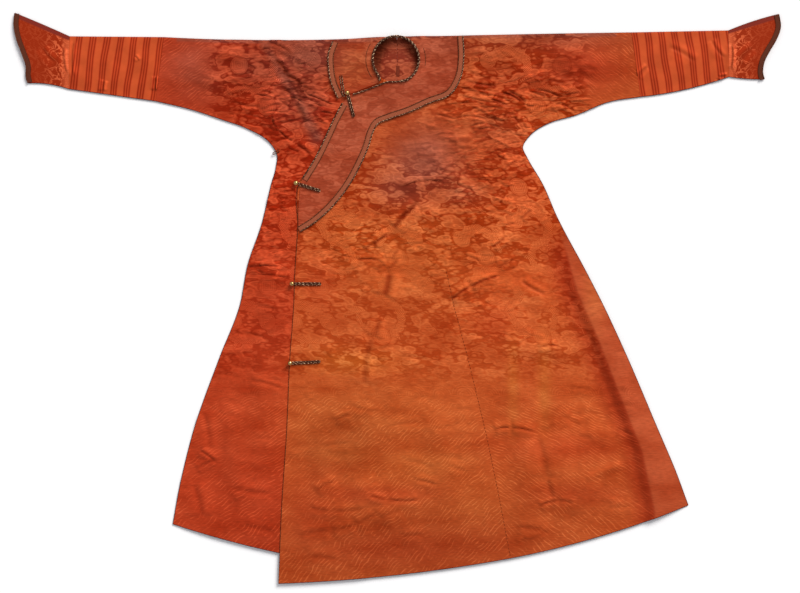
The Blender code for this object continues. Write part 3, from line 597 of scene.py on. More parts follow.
Roundel = namedtuple("Roundel", "u v")
ROUNDELS = table(Roundel, (
    (402, 592), (331, 487), (238, 283), (112, 103), (330, 30), (204, -96), (418, -60),
))
ROUNDEL_REACH = 40.0
# Dragons, as lines through their bodies from head to tail, on u and v
DRAGONS = (
    ((58, 34), (104, 66), (156, 52), (172, 8), (140, -30), (152, -76), (202, -96), (246, -66), (250, -24)),
    ((208, 198), (250, 222), (288, 194), (276, 150), (240, 130), (226, 92), (258, 66), (300, 78)),
    ((214, 606), (262, 630), (310, 606), (318, 562), (352, 530), (400, 534), (440, 520)),
    ((330, -60), (372, -22), (420, -22), (446, -62), (416, -104), (366, -112)),
    ((60, 150), (98, 176), (140, 160), (150, 120)),
)
DRAGON_WIDTH = 14.0
DRAGON_REACH = 12.0
DRAGON_CLEAR = 30.0  # a place further from every dragon than this counts as this far
NEAR_DRAGON = 40.0
TAPER = 0.75
FINS = 1.5  # height of the fins along a dragon's outline
FIN_RUN = 4.0
HEAD_RADIUS = 21.0
CLAW = 18.0
CLAW_STEP = 62.0


def dragon_field(u, v):
    """Signed distance to the nearest dragon, how far along its body a place lies, and how far aside."""
    nearest, along, aside = (np.full(np.shape(u), value) for value in (DRAGON_CLEAR, 0.0, 0.0))
    for body in DRAGONS:
        line = [tuple(point) for point in through(body, DRAGON_REACH)]
        (left, low), (right, high) = np.min(line, axis=0) - NEAR_DRAGON, np.max(line, axis=0) + NEAR_DRAGON
        near = (u > left) & (u < right) & (v > low) & (v < high)
        if not near.any():
            continue
        gap, reached, side = along_line(line, u[near], v[near])
        length = float(row_gaps(line).sum())
        width = DRAGON_WIDTH * (1.1 - TAPER * reached / length)
        found = gap - width - FINS * np.sin(reached / FIN_RUN)
        head = np.hypot(u[near] - line[0][0], v[near] - line[0][1]) - HEAD_RADIUS
        claw = np.abs((reached % CLAW_STEP) - CLAW_STEP / 2) * 1.4 + gap * 0.3 - CLAW * 0.45
        claw = np.maximum(claw, gap - CLAW - width)
        found = np.minimum(np.minimum(found, head), claw)
        closer = found < nearest[near]
        for field, value in ((nearest, found), (along, reached), (aside, gap * side)):
            field[near] = np.where(closer, value, field[near])
    return stacked(nearest, along, aside)


def roundel_field(u, v):
    """Place within the nearest roundel."""
    best = np.full(np.shape(u), 1e9)
    local = np.full((*np.shape(u), 3), ROUNDEL_REACH)
    for roundel in ROUNDELS:
        gap = np.hypot(u - roundel.u, v - roundel.v)
        closer = gap < best
        best = np.where(closer, gap, best)
        here = stacked(u - roundel.u, v - roundel.v, 0.0)
        local = np.where(closer[..., None], np.clip(here, -ROUNDEL_REACH, ROUNDEL_REACH), local)
    return local


print("roundels and dragons in half a robe:", len(ROUNDELS), len(DRAGONS))

# %% [markdown]
# ## Where the dye has aged
# A century of light and touch leaves a dyed silk uneven. The shoulders and the chest have browned, the part
# below the waist is a worn gold orange, and what lay hidden under the overlap kept its red. A few soft
# patches, each an ellipse with a strength, say so for each change: redder, gold, brown, lighter and darker.

# %% Patches of aged silk
Spot = namedtuple("Spot", "x y reach_x reach_y strength")
AGED = {
    "red": table(Spot, (
        (-330, 150, 90, 180, 0.75), (-390, -100, 110, 200, 0.6), (-440, -450, 130, 160, 0.55),
        (-360, 470, 110, 60, 0.55), (-200, 60, 60, 110, 0.4), (-220, -560, 90, 120, 0.45),
        (0, -640, 300, 60, 0.45), (350, 560, 220, 70, 0.6), (330, 340, 90, 120, 0.35),
        (460, 590, 150, 80, 0.9), (430, -380, 200, 40, 0.4), (-80, -500, 220, 26, 0.45),
        (440, -500, 200, 30, 0.35), (250, -60, 60, 50, 0.3),
    )),
    "gold": table(Spot, (
        (-110, 590, 60, 60, 0.8), (-60, -300, 260, 120, 0.35), (-110, -165, 130, 34, 0.85),
        (40, 120, 170, 120, 0.35), (-120, 140, 120, 70, 0.3), (60, -420, 160, 60, 0.45),
        (295, -225, 15, 110, 0.7), (375, -225, 17, 110, 0.8), (505, 20, 30, 90, 0.6),
        (200, -500, 120, 60, 0.3), (-120, -390, 120, 40, 0.4),
    )),
    "brown": table(Spot, (
        (-230, 620, 120, 70, 0.85), (-250, 520, 70, 80, 0.6), (-520, 590, 80, 90, 0.5),
        (100, 640, 160, 30, 0.4), (360, 660, 240, 26, 0.45), (70, 350, 110, 100, 0.85),
        (20, 290, 90, 60, 0.75), (150, 270, 80, 40, 0.45), (230, 420, 90, 70, 0.25),
        (-340, 600, 90, 60, 0.45),
    )),
    "light": table(Spot, (
        (420, -330, 130, 110, 0.2), (300, 10, 150, 90, 0.35), (-90, 60, 140, 80, 0.2),
    )),
    "dark": table(Spot, (
        (0, -640, 520, 170, 0.8), (420, -520, 200, 120, 0.5), (-140, -370, 140, 120, 0.74),
        (110, -420, 130, 110, 0.4), (-400, -430, 110, 260, 0.4), (-337, -56, 60, 160, 0.4),
        (-382, 563, 120, 90, 0.9), (-245, 560, 80, 150, 0.85), (250, 590, 130, 80, 0.75),
        (420, 585, 120, 80, 0.8), (560, 595, 80, 90, 0.4), (-110, 80, 140, 160, 0.2),
        (375, -300, 120, 110, 0.22), (60, 60, 80, 100, 0.22),
    )),
}
KEPT_RED = 0.88  # the right front, which the overlap kept from the light, but not round the neck
KEPT_RED_FROM = 75.0
KEPT_RED_RUN = 20.0
BACK_BROWN = 0.6
BACK_RED = 0.35
CREST_LIGHT = 0.4
LOW_SHADE = 0.5  # the painted shade of the creases is weaker near the hem
LOW_SHADE_FROM = -260.0  # and from here up it grows stronger
LOW_SHADE_RUN = 160.0
BESIDE_SHADE = 0.55  # painted shade on the cloth that falls towards the raised side strip, over this width
BESIDE_REACH = 105.0
BESIDE_SHADE_RED = 0.7
STRIP_RED = 0.25
STRIP_BROWN = 0.25
# The deep fold from the right shoulder to the side: painted shade along its whole length, browner and darker
SHOULDER_FOLD = ((-334, 645), (-292, 572), (-250, 500), (-205, 410))
FOLD_WIDTH = 20.0
FOLD_SHADE_BROWN = 0.8
FOLD_SHADE_DARK = 0.5
FACING_CLOUDS = 0.8
FACING_CRUMPLE = 0.25
ROLLED_EDGE = 14.0  # the shoulders' upper edge, rubbed brown where the robe was folded
ROLLED_SPAN = 560.0
ROLLED_BROWN = 0.8
# Silk left without clouds, and silk that is finely crumpled
QUIET = table(Spot, (
    (80, 404, 140, 78, 0.8), (-20, 60, 80, 70, 0.5), (300, 45, 110, 36, 0.6), (440, 590, 60, 50, 0.3),
))
CRUMPLED = table(Spot, (
    (230, 400, 150, 160, 1), (330, 520, 150, 90, 0.9), (-270, 520, 120, 120, 1), (-320, 200, 50, 200, 0.8),
    (-80, 150, 200, 90, 0.7), (200, 80, 160, 120, 0.6), (40, 500, 110, 40, 0.3),
))


def strongest(spots, x, y, crisp=1):
    """The strongest of the spots at each place. A crisp spot is even inside and ends sooner."""
    found = np.zeros(np.shape(x))
    for spot in spots:
        reach = ((x - spot.x) / spot.reach_x) ** 2 + ((y - spot.y) / spot.reach_y) ** 2
        found = np.maximum(found, spot.strength * np.exp(-(reach**crisp)))
    return found


def painted(x, y, u, shade, lines, drawn=True, front=1.0):
    """Every painted value of a body panel. front is 1 on the front and 0 on the back."""
    shade = shade * (LOW_SHADE + (1 - LOW_SHADE) * eased((y - LOW_SHADE_FROM) / LOW_SHADE_RUN))
    sleeve = eased((y - SLEEVE_FROM) / SLEEVE_RUN)
    out = eased((np.abs(x) - SLEEVE_SEA[0]) / (SLEEVE_SEA[1] - SLEEVE_SEA[0])) * sleeve
    ridge = read_off([(row.y, row.x) for row in SIDE_RIDGE], y)
    strip = eased((x - ridge + 4) / 10) * eased((STRIP_TOP - y) / 60)
    plain = np.maximum(strip, strongest(QUIET, x, y, 2))
    clouds = eased((y - CLOUD_HEM) / HEM_FADE + 0.5) * (1 - out) * (1 - plain)
    red, gold, brown, light, dark = (strongest(spots, x, y) for spots in AGED.values())
    clouds *= LOW_CLOUDS + (1 - LOW_CLOUDS) * np.maximum(eased((y - LOW_CLOUDS_TOP) / LOW_CLOUDS_RUN), gold)
    clouds *= 1.0 if drawn else FACING_CLOUDS
    waves = eased((y - WAVE_BAND[0]) / WAVE_FADE) * eased((WAVE_BAND[1] - y) / WAVE_FADE)
    sea = np.maximum(out, eased((CLOUD_HEM - WAVE_FADE - y) / SEA_FADE)) * (1 - strip)
    toward = 1.0 if lines == "left" else -1.0
    rule = SEA_LINES[lines]
    hem_phase = (-toward * x - rule.slant * y + rule.bend * y * y) * rule.scale
    sleeve_phase = (-toward * x - SLEEVE_SLANT * y) * SLEEVE_SCALE
    if lines == "right":
        red = np.maximum(red, KEPT_RED * eased((neck_distance(x, y) - KEPT_RED_FROM) / KEPT_RED_RUN))
    # painted shade on the cloth that falls towards the raised side strip: darker, and redder
    beside = eased((x - ridge + BESIDE_REACH) / 100) ** 2 * (1 - eased((x - ridge) / 8))
    beside *= eased((STRIP_TOP - y) / 100)
    red = np.maximum(red, np.maximum(BESIDE_SHADE_RED * beside, STRIP_RED * strip))
    rolled = eased((ROLLED_EDGE - distance_to(SHOULDER, x, y)) / 8) * (np.abs(x) < ROLLED_SPAN)
    brown = np.maximum(brown * front + BACK_BROWN * (1 - front), ROLLED_BROWN * rolled)
    brown = np.maximum(brown, STRIP_BROWN * strip * front)
    # painted shade along the deep fold of the right shoulder
    if lines == "right":
        folded = np.exp(-((distance_to(SHOULDER_FOLD, x, y) / FOLD_WIDTH) ** 2)) * front
        brown = np.maximum(brown, FOLD_SHADE_BROWN * folded)
        dark = np.maximum(dark, FOLD_SHADE_DARK * folded + dark * (1 - folded))
    far = np.full((*np.shape(x), 3), ROUNDEL_REACH)
    return {
        "cloth": stacked(u, y, 0.0),
        "zone": stacked(clouds, sea, waves),
        "sea_phase": np.where(sleeve > 0.5, sleeve_phase, hem_phase),
        "age": stacked(red * front + BACK_RED * (1 - front), gold * front, brown),
        # light carries the painted highlights on crease crests; crease carries the painted shade of the creases
        # and beside the side strip
        "light": light + CREST_LIGHT * np.maximum(-shade, 0) - dark * front,
        "crease": np.clip(np.maximum(shade, 0) + BESIDE_SHADE * beside * front, 0, 1),
        "crumple": strongest(CRUMPLED, x, y, 2) * front if drawn else np.full(np.shape(x), FACING_CRUMPLE),
        "dragon": dragon_field(np.abs(u), y) if drawn else far,
        "roundel": roundel_field(np.abs(u), y) if drawn else far,
    }


print("spots of age:", sum(len(spots) for spots in AGED.values()))

# %% [markdown]
# ## A shell of cloth
# Cloth has two sides. A grid laid through the rows becomes a closed thin shell with the Solidify modifier,
# and the modifier is applied, so that the piece is a plain mesh. Painted values are stored as attributes on
# the points, where the materials read them.

# %% Grids made into cloth
CUT_EDGE = math.radians(60)  # edges sharper than this, as where cloth is cut, aren't shaded round


def plain_mesh(obj):
    """Applies an object's modifiers."""
    depsgraph = bpy.context.evaluated_depsgraph_get()
    mesh = bpy.data.meshes.new_from_object(obj.evaluated_get(depsgraph))
    obj.modifiers.clear()
    old, obj.data = obj.data, mesh
    bpy.data.meshes.remove(old)
    return obj


def grid_object(name, grid, surface, fields):
    """A sheet of faces through a grid of points, rows by columns, with painted values."""
    rows, columns = grid.shape[:2]
    faces = bmesh.new()
    bmesh.ops.create_grid(faces, x_segments=columns - 1, y_segments=rows - 1, size=0.5)
    for face in faces.faces:
        face.smooth = True
    mesh = bpy.data.meshes.new(name)
    faces.to_mesh(mesh)
    faces.free()
    mesh.vertices.foreach_set("co", (grid * MM).ravel())
    for field, values in fields.items():
        kind, key = ("FLOAT_VECTOR", "vector") if np.ndim(values) == 3 else ("FLOAT", "value")
        layer = mesh.attributes.new(field, kind, "POINT")
        layer.data.foreach_set(key, np.ascontiguousarray(values, np.float32).ravel())
    mesh.materials.append(surface)
    obj = bpy.data.objects.new(name, mesh)
    room.collection.objects.link(obj)
    return obj


def cloth(name, grid, thickness, surface, fields):
    """A closed shell of cloth about a grid of points."""
    obj = grid_object(name, grid, surface, fields)
    wall = obj.modifiers.new("wall", "SOLIDIFY")
    wall.thickness = thickness * MM
    wall.offset = 0.0
    plain_mesh(obj)
    obj.data.set_sharp_from_angle(angle=CUT_EDGE)
    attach(obj, "root")
    return obj


def stands_for(obj, node):
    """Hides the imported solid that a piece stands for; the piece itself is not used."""
    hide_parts(node)


def triangles(obj):
    return sum(len(face.vertices) - 2 for face in obj.data.polygons)


def plan_area(grid):
    """Area of a grid in square metres, which is the area of its cut."""
    a, b = np.diff(grid, axis=0)[:, :-1], np.diff(grid, axis=1)[:-1]
    return float(np.linalg.norm(np.cross(a, b), axis=-1).sum()) * MM * MM


print("helpers for cloth are ready")

# %% [markdown]
# ## Colours and nodes
# Dyes are written as sRGB hex values, the way a colour picker shows them, and one function turns them into
# the linear values that the renderer works with. Another adds a node with its settings and links. Everything
# below is built from these two.

# %% One function for colours and one for nodes
MATH = "ShaderNodeMath"
VECTOR = "ShaderNodeVectorMath"
MIX = "ShaderNodeMix"
NOISE = "ShaderNodeTexNoise"
RANGE = "ShaderNodeMapRange"
SPLIT = "ShaderNodeSeparateXYZ"
JOIN = "ShaderNodeCombineXYZ"
READ = "ShaderNodeAttribute"
# Plain names for what a node does with values, with vectors and with colours
PLUS = (MATH, "operation", "ADD")
MINUS = (MATH, "operation", "SUBTRACT")
TIMES = (MATH, "operation", "MULTIPLY")
DIVIDED = (MATH, "operation", "DIVIDE")
TIMES_PLUS = (MATH, "operation", "MULTIPLY_ADD")
LARGER = (MATH, "operation", "MAXIMUM")
UNSIGNED = (MATH, "operation", "ABSOLUTE")
FRACTION = (MATH, "operation", "FRACT")
WHOLE = (MATH, "operation", "FLOOR")
SINE = (MATH, "operation", "SINE")
COSINE = (MATH, "operation", "COSINE")
BEARING = (MATH, "operation", "ARCTAN2")
ZIGZAG = (MATH, "operation", "PINGPONG")
REMAINDER = (MATH, "operation", "MODULO")
BELOW = (MATH, "operation", "LESS_THAN")
SHIFTED = (VECTOR, "operation", "ADD")
STRETCHED = (VECTOR, "operation", "MULTIPLY")
SCALED = (VECTOR, "operation", "SCALE")
STRETCHED_PLUS = (VECTOR, "operation", "MULTIPLY_ADD")
LENGTH = (VECTOR, "operation", "LENGTH")
MIRRORED = (VECTOR, "operation", "ABSOLUTE")
DOT = (VECTOR, "operation", "DOT_PRODUCT")
CROSS = (VECTOR, "operation", "CROSS_PRODUCT")
MIX_COLOURS = (MIX, "data_type", "RGBA")
MIX_VECTORS = (MIX, "data_type", "VECTOR")


def linear(hex_colour):
    """An sRGB hex value as linear red, green, blue and alpha."""
    values = [int(hex_colour[k:k + 2], 16) / 255 for k in (1, 3, 5)]
    return (*[v / 12.92 if v <= 0.04045 else ((v + 0.055) / 1.055) ** 2.4 for v in values], 1.0)


def add(tree, kind, *values, out="first", **named):
    """Adds one node and returns the output called out, or the first in use, or the node if out is None.

    kind is a node's type, alone or with one setting. Plain values go to the sockets in use, in their order.
    A name with a capital is a socket's and any other is a setting's. A value is another node's output, a
    number, a vector or a hex colour.
    """
    kind, *choice = kind if isinstance(kind, tuple) else (kind,)
    node = tree.nodes.new(kind)
    if choice:
        setattr(node, *choice)
    for name, value in named.items():
        if name[0].islower():
            setattr(node, name, value)
    sockets = [socket for socket in node.inputs if socket.enabled]
    given = list(zip(sockets, values))
    for name, value in named.items():
        if name[0].isupper():
            given.append((next(socket for socket in sockets if socket.name == name.replace("_", " ")), value))
    for socket, value in given:
        if isinstance(value, bpy.types.NodeSocket):
            tree.links.new(value, socket)
        elif isinstance(value, str) and value.startswith("#"):
            socket.default_value = linear(value)
        else:
            socket.default_value = value
    results = [socket for socket in node.outputs if socket.enabled and out in ("first", socket.name)]
    return node if out is None else results[0]


def new_material(name, preview, **values):
    """A material with its Principled shader, whose plain values are set on its sockets."""
    made = bpy.data.materials.new(name)
    made.use_nodes = True
    made.diffuse_color = linear(preview)
    shader = made.node_tree.nodes["Principled BSDF"]
    for key, value in values.items():
        shader.inputs[key.replace("_", " ")].default_value = value
    return made, made.node_tree, shader


print("linear mid grey:", round(linear("#808080")[0], 3))

# %% [markdown]
# ## Silk damask
# Damask is woven in one colour. Its figures show because they are bound in plain weave on a satin ground, and
# the two turn the light differently: the satin is darker and glossier, the figures lighter and more matt.
# The clouds are drawn as signed distances, a number that is negative inside a shape, because one number
# gives the crisp edge, the line inside it and the spiral of the cloud head.

# %% One layer of heaped clouds
HEAP = (0.44, 1.0, 0.0)  # heaps of clouds are about twice as wide as they are high
LOBE_SHARE = 0.25
LOBE_SIZE = 0.38
LOBE_STRETCH = (0.52, 1.0, 0.0)  # the lobes are drawn out sideways too, but less
HEAP_SLOPE = 0.62  # how much the field changes over one heap's size, on average


def cloud_layer(tree, place, size, fullness):
    """Signed distance in mm to ragged heaps of cloud with scalloped rims, and a brightness for each place."""
    flat = add(tree, STRETCHED, place, tuple(share / size for share in HEAP))
    heap = add(tree, NOISE, Vector=flat, Scale=1.0, Detail=1.0, Distortion=0.6)
    warp = add(tree, NOISE, Vector=flat, Scale=1.4, Detail=1.0, out="Color")
    bent = add(tree, STRETCHED_PLUS, warp, (0.5 * size,) * 3, place)
    bent = add(tree, STRETCHED, bent, LOBE_STRETCH)
    lobe = add(
        tree, "ShaderNodeTexVoronoi", Vector=bent, Scale=1 / (size * LOBE_SIZE), voronoi_dimensions="2D")
    heap = add(tree, TIMES_PLUS, lobe, -LOBE_SHARE, heap)
    gap = add(tree, MINUS, 0.5 - 0.45 * LOBE_SHARE - fullness, heap)
    gap = add(tree, TIMES, gap, size / HEAP_SLOPE)
    bright = add(tree, NOISE, Vector=flat, Scale=0.7, Detail=2.0, Roughness=0.7)
    return gap, bright


print("heaps are wider than high by", round(HEAP[1] / HEAP[0], 1))

# %% The damask's nodes
Dye = namedtuple("Dye", "ground figure")
SHEEN = linear("#EE8C54")  # light that glances off dyed silk takes its colour
SILKY = {"Specular_IOR_Level": 0.3, "Specular_Tint": SHEEN}
# the fresh dye, then the dyes of silk that stayed red, that has worn to gold and that has browned
ORANGE_DYES = table(Dye, (
    ("#992E08", "#CF6636"), ("#901C08", "#CC4B2C"), ("#A64614", "#DA7A3E"), ("#6C3028", "#AA5C48"),
))
COLLAR_DYES = table(Dye, (
    ("#943C26", "#B4583E"), ("#962C16", "#B84628"), ("#984020", "#B85E34"), ("#763022", "#984630"),
))
LARGE_CLOUDS = (32.0, 0.01)  # size in mm and fullness, above 0 where clouds cover more than half
SMALL_CLOUDS = (15.0, -0.03)
CLOUD_SHIFT = (370.0, 210.0, 0.0)  # so that the small clouds don't repeat the large ones
SCALE_TURN = 1.25  # the dragons' scales, in radians for each mm
SEA_DRIFT = 22.0
SEA_PITCH = 7.4
SCALLOP = (62.0, 31.0)
RING_PITCH = 6.0
FRET_PITCH = 4.6
BAND_STEP = 3.8  # a cloud's bright line runs this far inside its rim
PLAIN_TONE = 0.42  # of silk without clouds, between ground and figure
CREASE_SHADE_TINT = (0.55, 0.34, 0.28)  # what the painted shade of a crease leaves of red, green and blue
ROUNDEL_RADIUS = 21.5
FIGURE_RELIEF = 0.15
WRINKLE_DEPTH = 9.0  # times the relief of the figures
# painted shade in the valleys of the fine wrinkles
WRINKLE_SHADE = 0.22
WRINKLE_LENGTH = (0.014, 0.004, 0.0)  # the wrinkles run aslant, far longer than they are wide
WRINKLE_WIDTH = (-0.011, 0.04, 0.0)
# Waves of unevenness for each mm, across the silk and up it: long across, because that is how a weft lies
BLOTCH_WAVES = (0.008, 0.02, 0.0)
WEFT_WAVES = (0.07, 0.34, 0.0)
GLINT_WAVES = (0.028, 0.075, 0.0)
DIM_BLOTCH = (0.84, 0.66, 0.55)  # what the blotches leave of red, green and blue
BRIGHT_BLOTCH = (1.14, 1.26, 1.3)
WEFT_GRAIN = (0.3, 0.7, 0.85, 1.15)
WEFT_RELIEF = 0.4
LIGHT_CHANGE = 0.35
HEAP_CLEAR = (2.0, 4.0, 0.0, 0.75)  # small clouds stay this far outside the large ones
DRAGON_EDGE = (0.8, -0.8)
DRAGON_MARGIN = (0.6, 1.8, 0.55, 1.0)  # clouds are dimmer close about a dragon
SCALE_TONES = (-0.2, 0.3, 0.2, 1.1)
ROUNDEL_RING = (0.6, 1.6, 0.68, 0.0)
ROUNDEL_INSIDE = (20.8, 19.0)
ROUNDEL_MARGIN = (22.0, 27.0, 0.25, 1.0)
FRET_TONES = (0.45, 0.6, 0.5, 0.9)
SEA_LINE = (0.05, 0.16, 1.0, 0.0)
SEA_BREAKS = (0.42, 0.56, 0.0, 1.0)
SEA_PATCHES = (0.36, 0.6, 0.25, 0.75)
RING_TONES = (0.55, 0.7, 0.0, 0.2)
GLINT = 0.5  # painted highlight: how much brighter the silk is on the small crests that catch the light


def cloud_figure(tree, gap, draw):
    """How brightly a layer of clouds shows: soft bodies, each with a brighter line woven inside its rim."""
    body = add(tree, RANGE, gap, 0.9, -0.9)
    band = add(tree, ZIGZAG, gap, BAND_STEP)
    band = add(tree, RANGE, band, BAND_STEP - 2.2, BAND_STEP - 0.8, 0.62, 1.08)
    bright = add(tree, RANGE, draw, 0.34, 0.62, 0.45, 1.1)
    body = add(tree, TIMES, body, band)
    return add(tree, TIMES, body, bright)


def silk_damask(name, preview, dyes, roughness):
    """Silk damask in one dye, with its clouds, dragons, roundels and sea lines, aged in patches."""
    made, tree, shader = new_material(name, preview, **SILKY)
    place = add(tree, READ, out="Vector", attribute_name="cloth")
    zone = add(tree, SPLIT, add(tree, READ, out="Vector", attribute_name="zone"), out=None)
    gap, draw = cloud_layer(tree, place, *LARGE_CLOUDS)
    large = cloud_figure(tree, gap, draw)
    between_heaps = add(tree, RANGE, gap, *HEAP_CLEAR)
    aside = add(tree, SHIFTED, place, CLOUD_SHIFT)
    small = cloud_figure(tree, *cloud_layer(tree, aside, *SMALL_CLOUDS))
    small = add(tree, TIMES, small, between_heaps)
    clouds = add(tree, LARGER, large, small)

    # dragons: a scaled body with a clear margin about it
    dragon = add(tree, SPLIT, add(tree, READ, out="Vector", attribute_name="dragon"), out=None)
    body = add(tree, RANGE, dragon.outputs[0], *DRAGON_EDGE)
    margin = add(tree, RANGE, dragon.outputs[0], *DRAGON_MARGIN)
    ripple = add(tree, TIMES, dragon.outputs[1], SCALE_TURN)
    ripple = add(tree, SINE, ripple)
    cross = add(tree, TIMES, dragon.outputs[2], SCALE_TURN)
    cross = add(tree, COSINE, cross)
    scale = add(tree, TIMES, ripple, cross)
    scale = add(tree, RANGE, scale, *SCALE_TONES)
    body = add(tree, TIMES, body, scale)

    # roundels: a ring about a square spiral
    local = add(tree, READ, out="Vector", attribute_name="roundel")
    reach = add(tree, LENGTH, local)
    ring = add(tree, PLUS, reach, -ROUNDEL_RADIUS)
    ring = add(tree, UNSIGNED, ring)
    ring = add(tree, RANGE, ring, *ROUNDEL_RING)
    corner = add(tree, SPLIT, add(tree, MIRRORED, local), out=None)
    square = add(tree, LARGER, corner.outputs[0], corner.outputs[1])
    sides = add(tree, SPLIT, local, out=None)
    turn = add(tree, BEARING, sides.outputs[1], sides.outputs[0])
    turn = add(tree, TIMES, turn, 1 / math.tau)
    fret = add(tree, TIMES_PLUS, square, 1 / FRET_PITCH, turn)
    fret = add(tree, FRACTION, fret)
    fret = add(tree, RANGE, fret, *FRET_TONES)
    inside = add(tree, RANGE, reach, *ROUNDEL_INSIDE)
    fret = add(tree, TIMES, fret, inside)
    roundel = add(tree, LARGER, ring, fret)
    outside = add(tree, RANGE, reach, *ROUNDEL_MARGIN)

    clouds = add(tree, TIMES, clouds, margin)
    drawn = add(tree, LARGER, clouds, body)
    drawn = add(tree, TIMES, drawn, outside)
    drawn = add(tree, LARGER, drawn, roundel)
    drawn = add(tree, MIX, zone.outputs[0], PLAIN_TONE, drawn)

    # the sea at the hem and on the sleeves: slanting lines that come and go
    drift = add(tree, NOISE, Vector=place, Scale=0.02, Detail=1.5)
    phase = add(tree, READ, out="Fac", attribute_name="sea_phase")
    phase = add(tree, TIMES_PLUS, drift, SEA_DRIFT, phase)
    phase = add(tree, TIMES, phase, 1 / SEA_PITCH)
    line = add(tree, FRACTION, phase)
    line = add(tree, MINUS, line, 0.5)
    line = add(tree, UNSIGNED, line)
    line = add(tree, RANGE, line, *SEA_LINE)
    broken = add(tree, NOISE, Vector=place, Scale=0.045, Detail=1.5)
    broken = add(tree, RANGE, broken, *SEA_BREAKS)
    patch = add(tree, NOISE, Vector=place, Scale=0.009, Detail=2.0)
    patch = add(tree, RANGE, patch, *SEA_PATCHES)
    line = add(tree, TIMES, line, broken)
    line = add(tree, TIMES, line, patch)
    sea = add(tree, TIMES, line, zone.outputs[1])

    # the waves between them: scallops of concentric rings in staggered rows
    split = add(tree, SPLIT, place, out=None)
    tall = add(tree, TIMES, split.outputs[1], 1 / SCALLOP[1])
    row = add(tree, WHOLE, tall)
    rise = add(tree, FRACTION, tall)
    wide = add(tree, TIMES, row, 0.5)
    wide = add(tree, TIMES_PLUS, split.outputs[0], 1 / SCALLOP[0], wide)
    wide = add(tree, FRACTION, wide)
    wide = add(tree, MINUS, wide, 0.5)
    spot = add(tree, JOIN, wide, rise)
    spot = add(tree, STRETCHED, spot, (*SCALLOP, 0.0))
    spot = add(tree, LENGTH, spot)
    rings = add(tree, TIMES, spot, 1 / RING_PITCH)
    rings = add(tree, FRACTION, rings)
    rings = add(tree, RANGE, rings, *RING_TONES)
    shell = add(tree, BELOW, spot, SCALLOP[1])
    waves = add(tree, TIMES, rings, shell)
    waves = add(tree, TIMES, waves, zone.outputs[2])
    waves = add(tree, TIMES, waves, broken)
    figure = add(tree, PLUS, drawn, sea)
    figure = add(tree, PLUS, figure, waves, use_clamp=True)

    # colours, changed by age
    age = add(tree, SPLIT, add(tree, READ, out="Vector", attribute_name="age"), out=None)
    ground, raised = dyes[0]
    for weight, dye in zip(age.outputs, dyes[1:]):
        ground = add(tree, MIX_COLOURS, weight, ground, dye.ground)
        raised = add(tree, MIX_COLOURS, weight, raised, dye.figure)
    colour = add(tree, MIX_COLOURS, figure, ground, raised)
    blotch = add(tree, STRETCHED, place, BLOTCH_WAVES)
    blotch = add(tree, NOISE, Vector=blotch, Scale=1.0, Detail=3.0)
    blotch = add(tree, RANGE, blotch, 0.3, 0.7)
    blotch = add(tree, MIX_VECTORS, blotch, DIM_BLOTCH, BRIGHT_BLOTCH)
    weft = add(tree, STRETCHED, place, WEFT_WAVES)
    weft = add(tree, NOISE, Vector=weft, Scale=1.0, Detail=2.0)
    grain = add(tree, RANGE, weft, *WEFT_GRAIN)
    crease_shading = add(tree, READ, out="Fac", attribute_name="crease")

    # fine wrinkles between the large creases: valleys along the middle value of a slow noise, with painted
    # shade in them
    pressed = add(tree, READ, out="Fac", attribute_name="crumple")
    lengthwise = add(tree, DOT, place, WRINKLE_LENGTH)
    crosswise = add(tree, DOT, place, WRINKLE_WIDTH)
    valley = add(tree, NOISE, Vector=add(tree, JOIN, lengthwise, crosswise), Scale=1.0, Detail=1.5)
    valley = add(tree, MINUS, valley, 0.5)
    valley = add(tree, UNSIGNED, valley)
    valley = add(tree, RANGE, valley, 0.0, 0.11, 1.0, 0.0, interpolation_type="SMOOTHSTEP")
    valley = add(tree, TIMES, valley, pressed)
    crease_shading = add(tree, TIMES_PLUS, valley, WRINKLE_SHADE, crease_shading, use_clamp=True)
    crease_shading = add(tree, MIX_VECTORS, crease_shading, (1.0, 1.0, 1.0), CREASE_SHADE_TINT)
    light = add(tree, READ, out="Fac", attribute_name="light")
    light = add(tree, TIMES_PLUS, light, LIGHT_CHANGE, 1.0)
    # a painted highlight on the small crests of the crumpled silk
    glint = add(tree, STRETCHED, place, GLINT_WAVES)
    glint = add(tree, NOISE, Vector=glint, Scale=1.0, Detail=2.0)
    glint = add(tree, RANGE, glint, 0.58, 0.72, To_Max=GLINT)
    glint = add(tree, TIMES, glint, pressed)
    light = add(tree, PLUS, glint, light)
    strength = add(tree, TIMES, grain, light)
    colour = add(tree, STRETCHED, colour, blotch)
    colour = add(tree, STRETCHED, colour, crease_shading)
    colour = add(tree, SCALED, colour, strength)
    tree.links.new(colour, shader.inputs["Base Color"])
    gloss = add(tree, RANGE, figure, To_Min=roughness, To_Max=roughness + 0.15)
    tree.links.new(gloss, shader.inputs["Roughness"])
    high = add(tree, TIMES_PLUS, weft, WEFT_RELIEF, figure)
    high = add(tree, TIMES_PLUS, valley, -WRINKLE_DEPTH, high)
    bump = add(tree, "ShaderNodeBump", Height=high, Strength=1.0, Distance=FIGURE_RELIEF * MM)
    tree.links.new(bump, shader.inputs["Normal"])
    return made


# Worn silk damask: a darker, glossier satin ground under lighter, more matt figures, which show as light.
DAMASK = silk_damask("worn_silk_damask", "#B8512A", ORANGE_DYES, 0.45)
# The collar facing's silk, handled most, so it is browner and its figures are nearly gone.
COLLAR_DAMASK = silk_damask("handled_collar_silk", "#A24832", COLLAR_DYES, 0.5)
print("nodes in the damask:", len(DAMASK.node_tree.nodes))

# %% [markdown]
# ## Sleeve bands, cuffs and trims
# The stretch of sleeve above the cuff is plain orange silk with dark red lines woven across it in threes,
# from the time when the sleeve was worn pushed up in pleats. The cuff's silk is a deep red with a lighter
# scroll. Braid, cords and bindings are metal-wrapped and dark silk threads: dull, rough, with a few flecks.

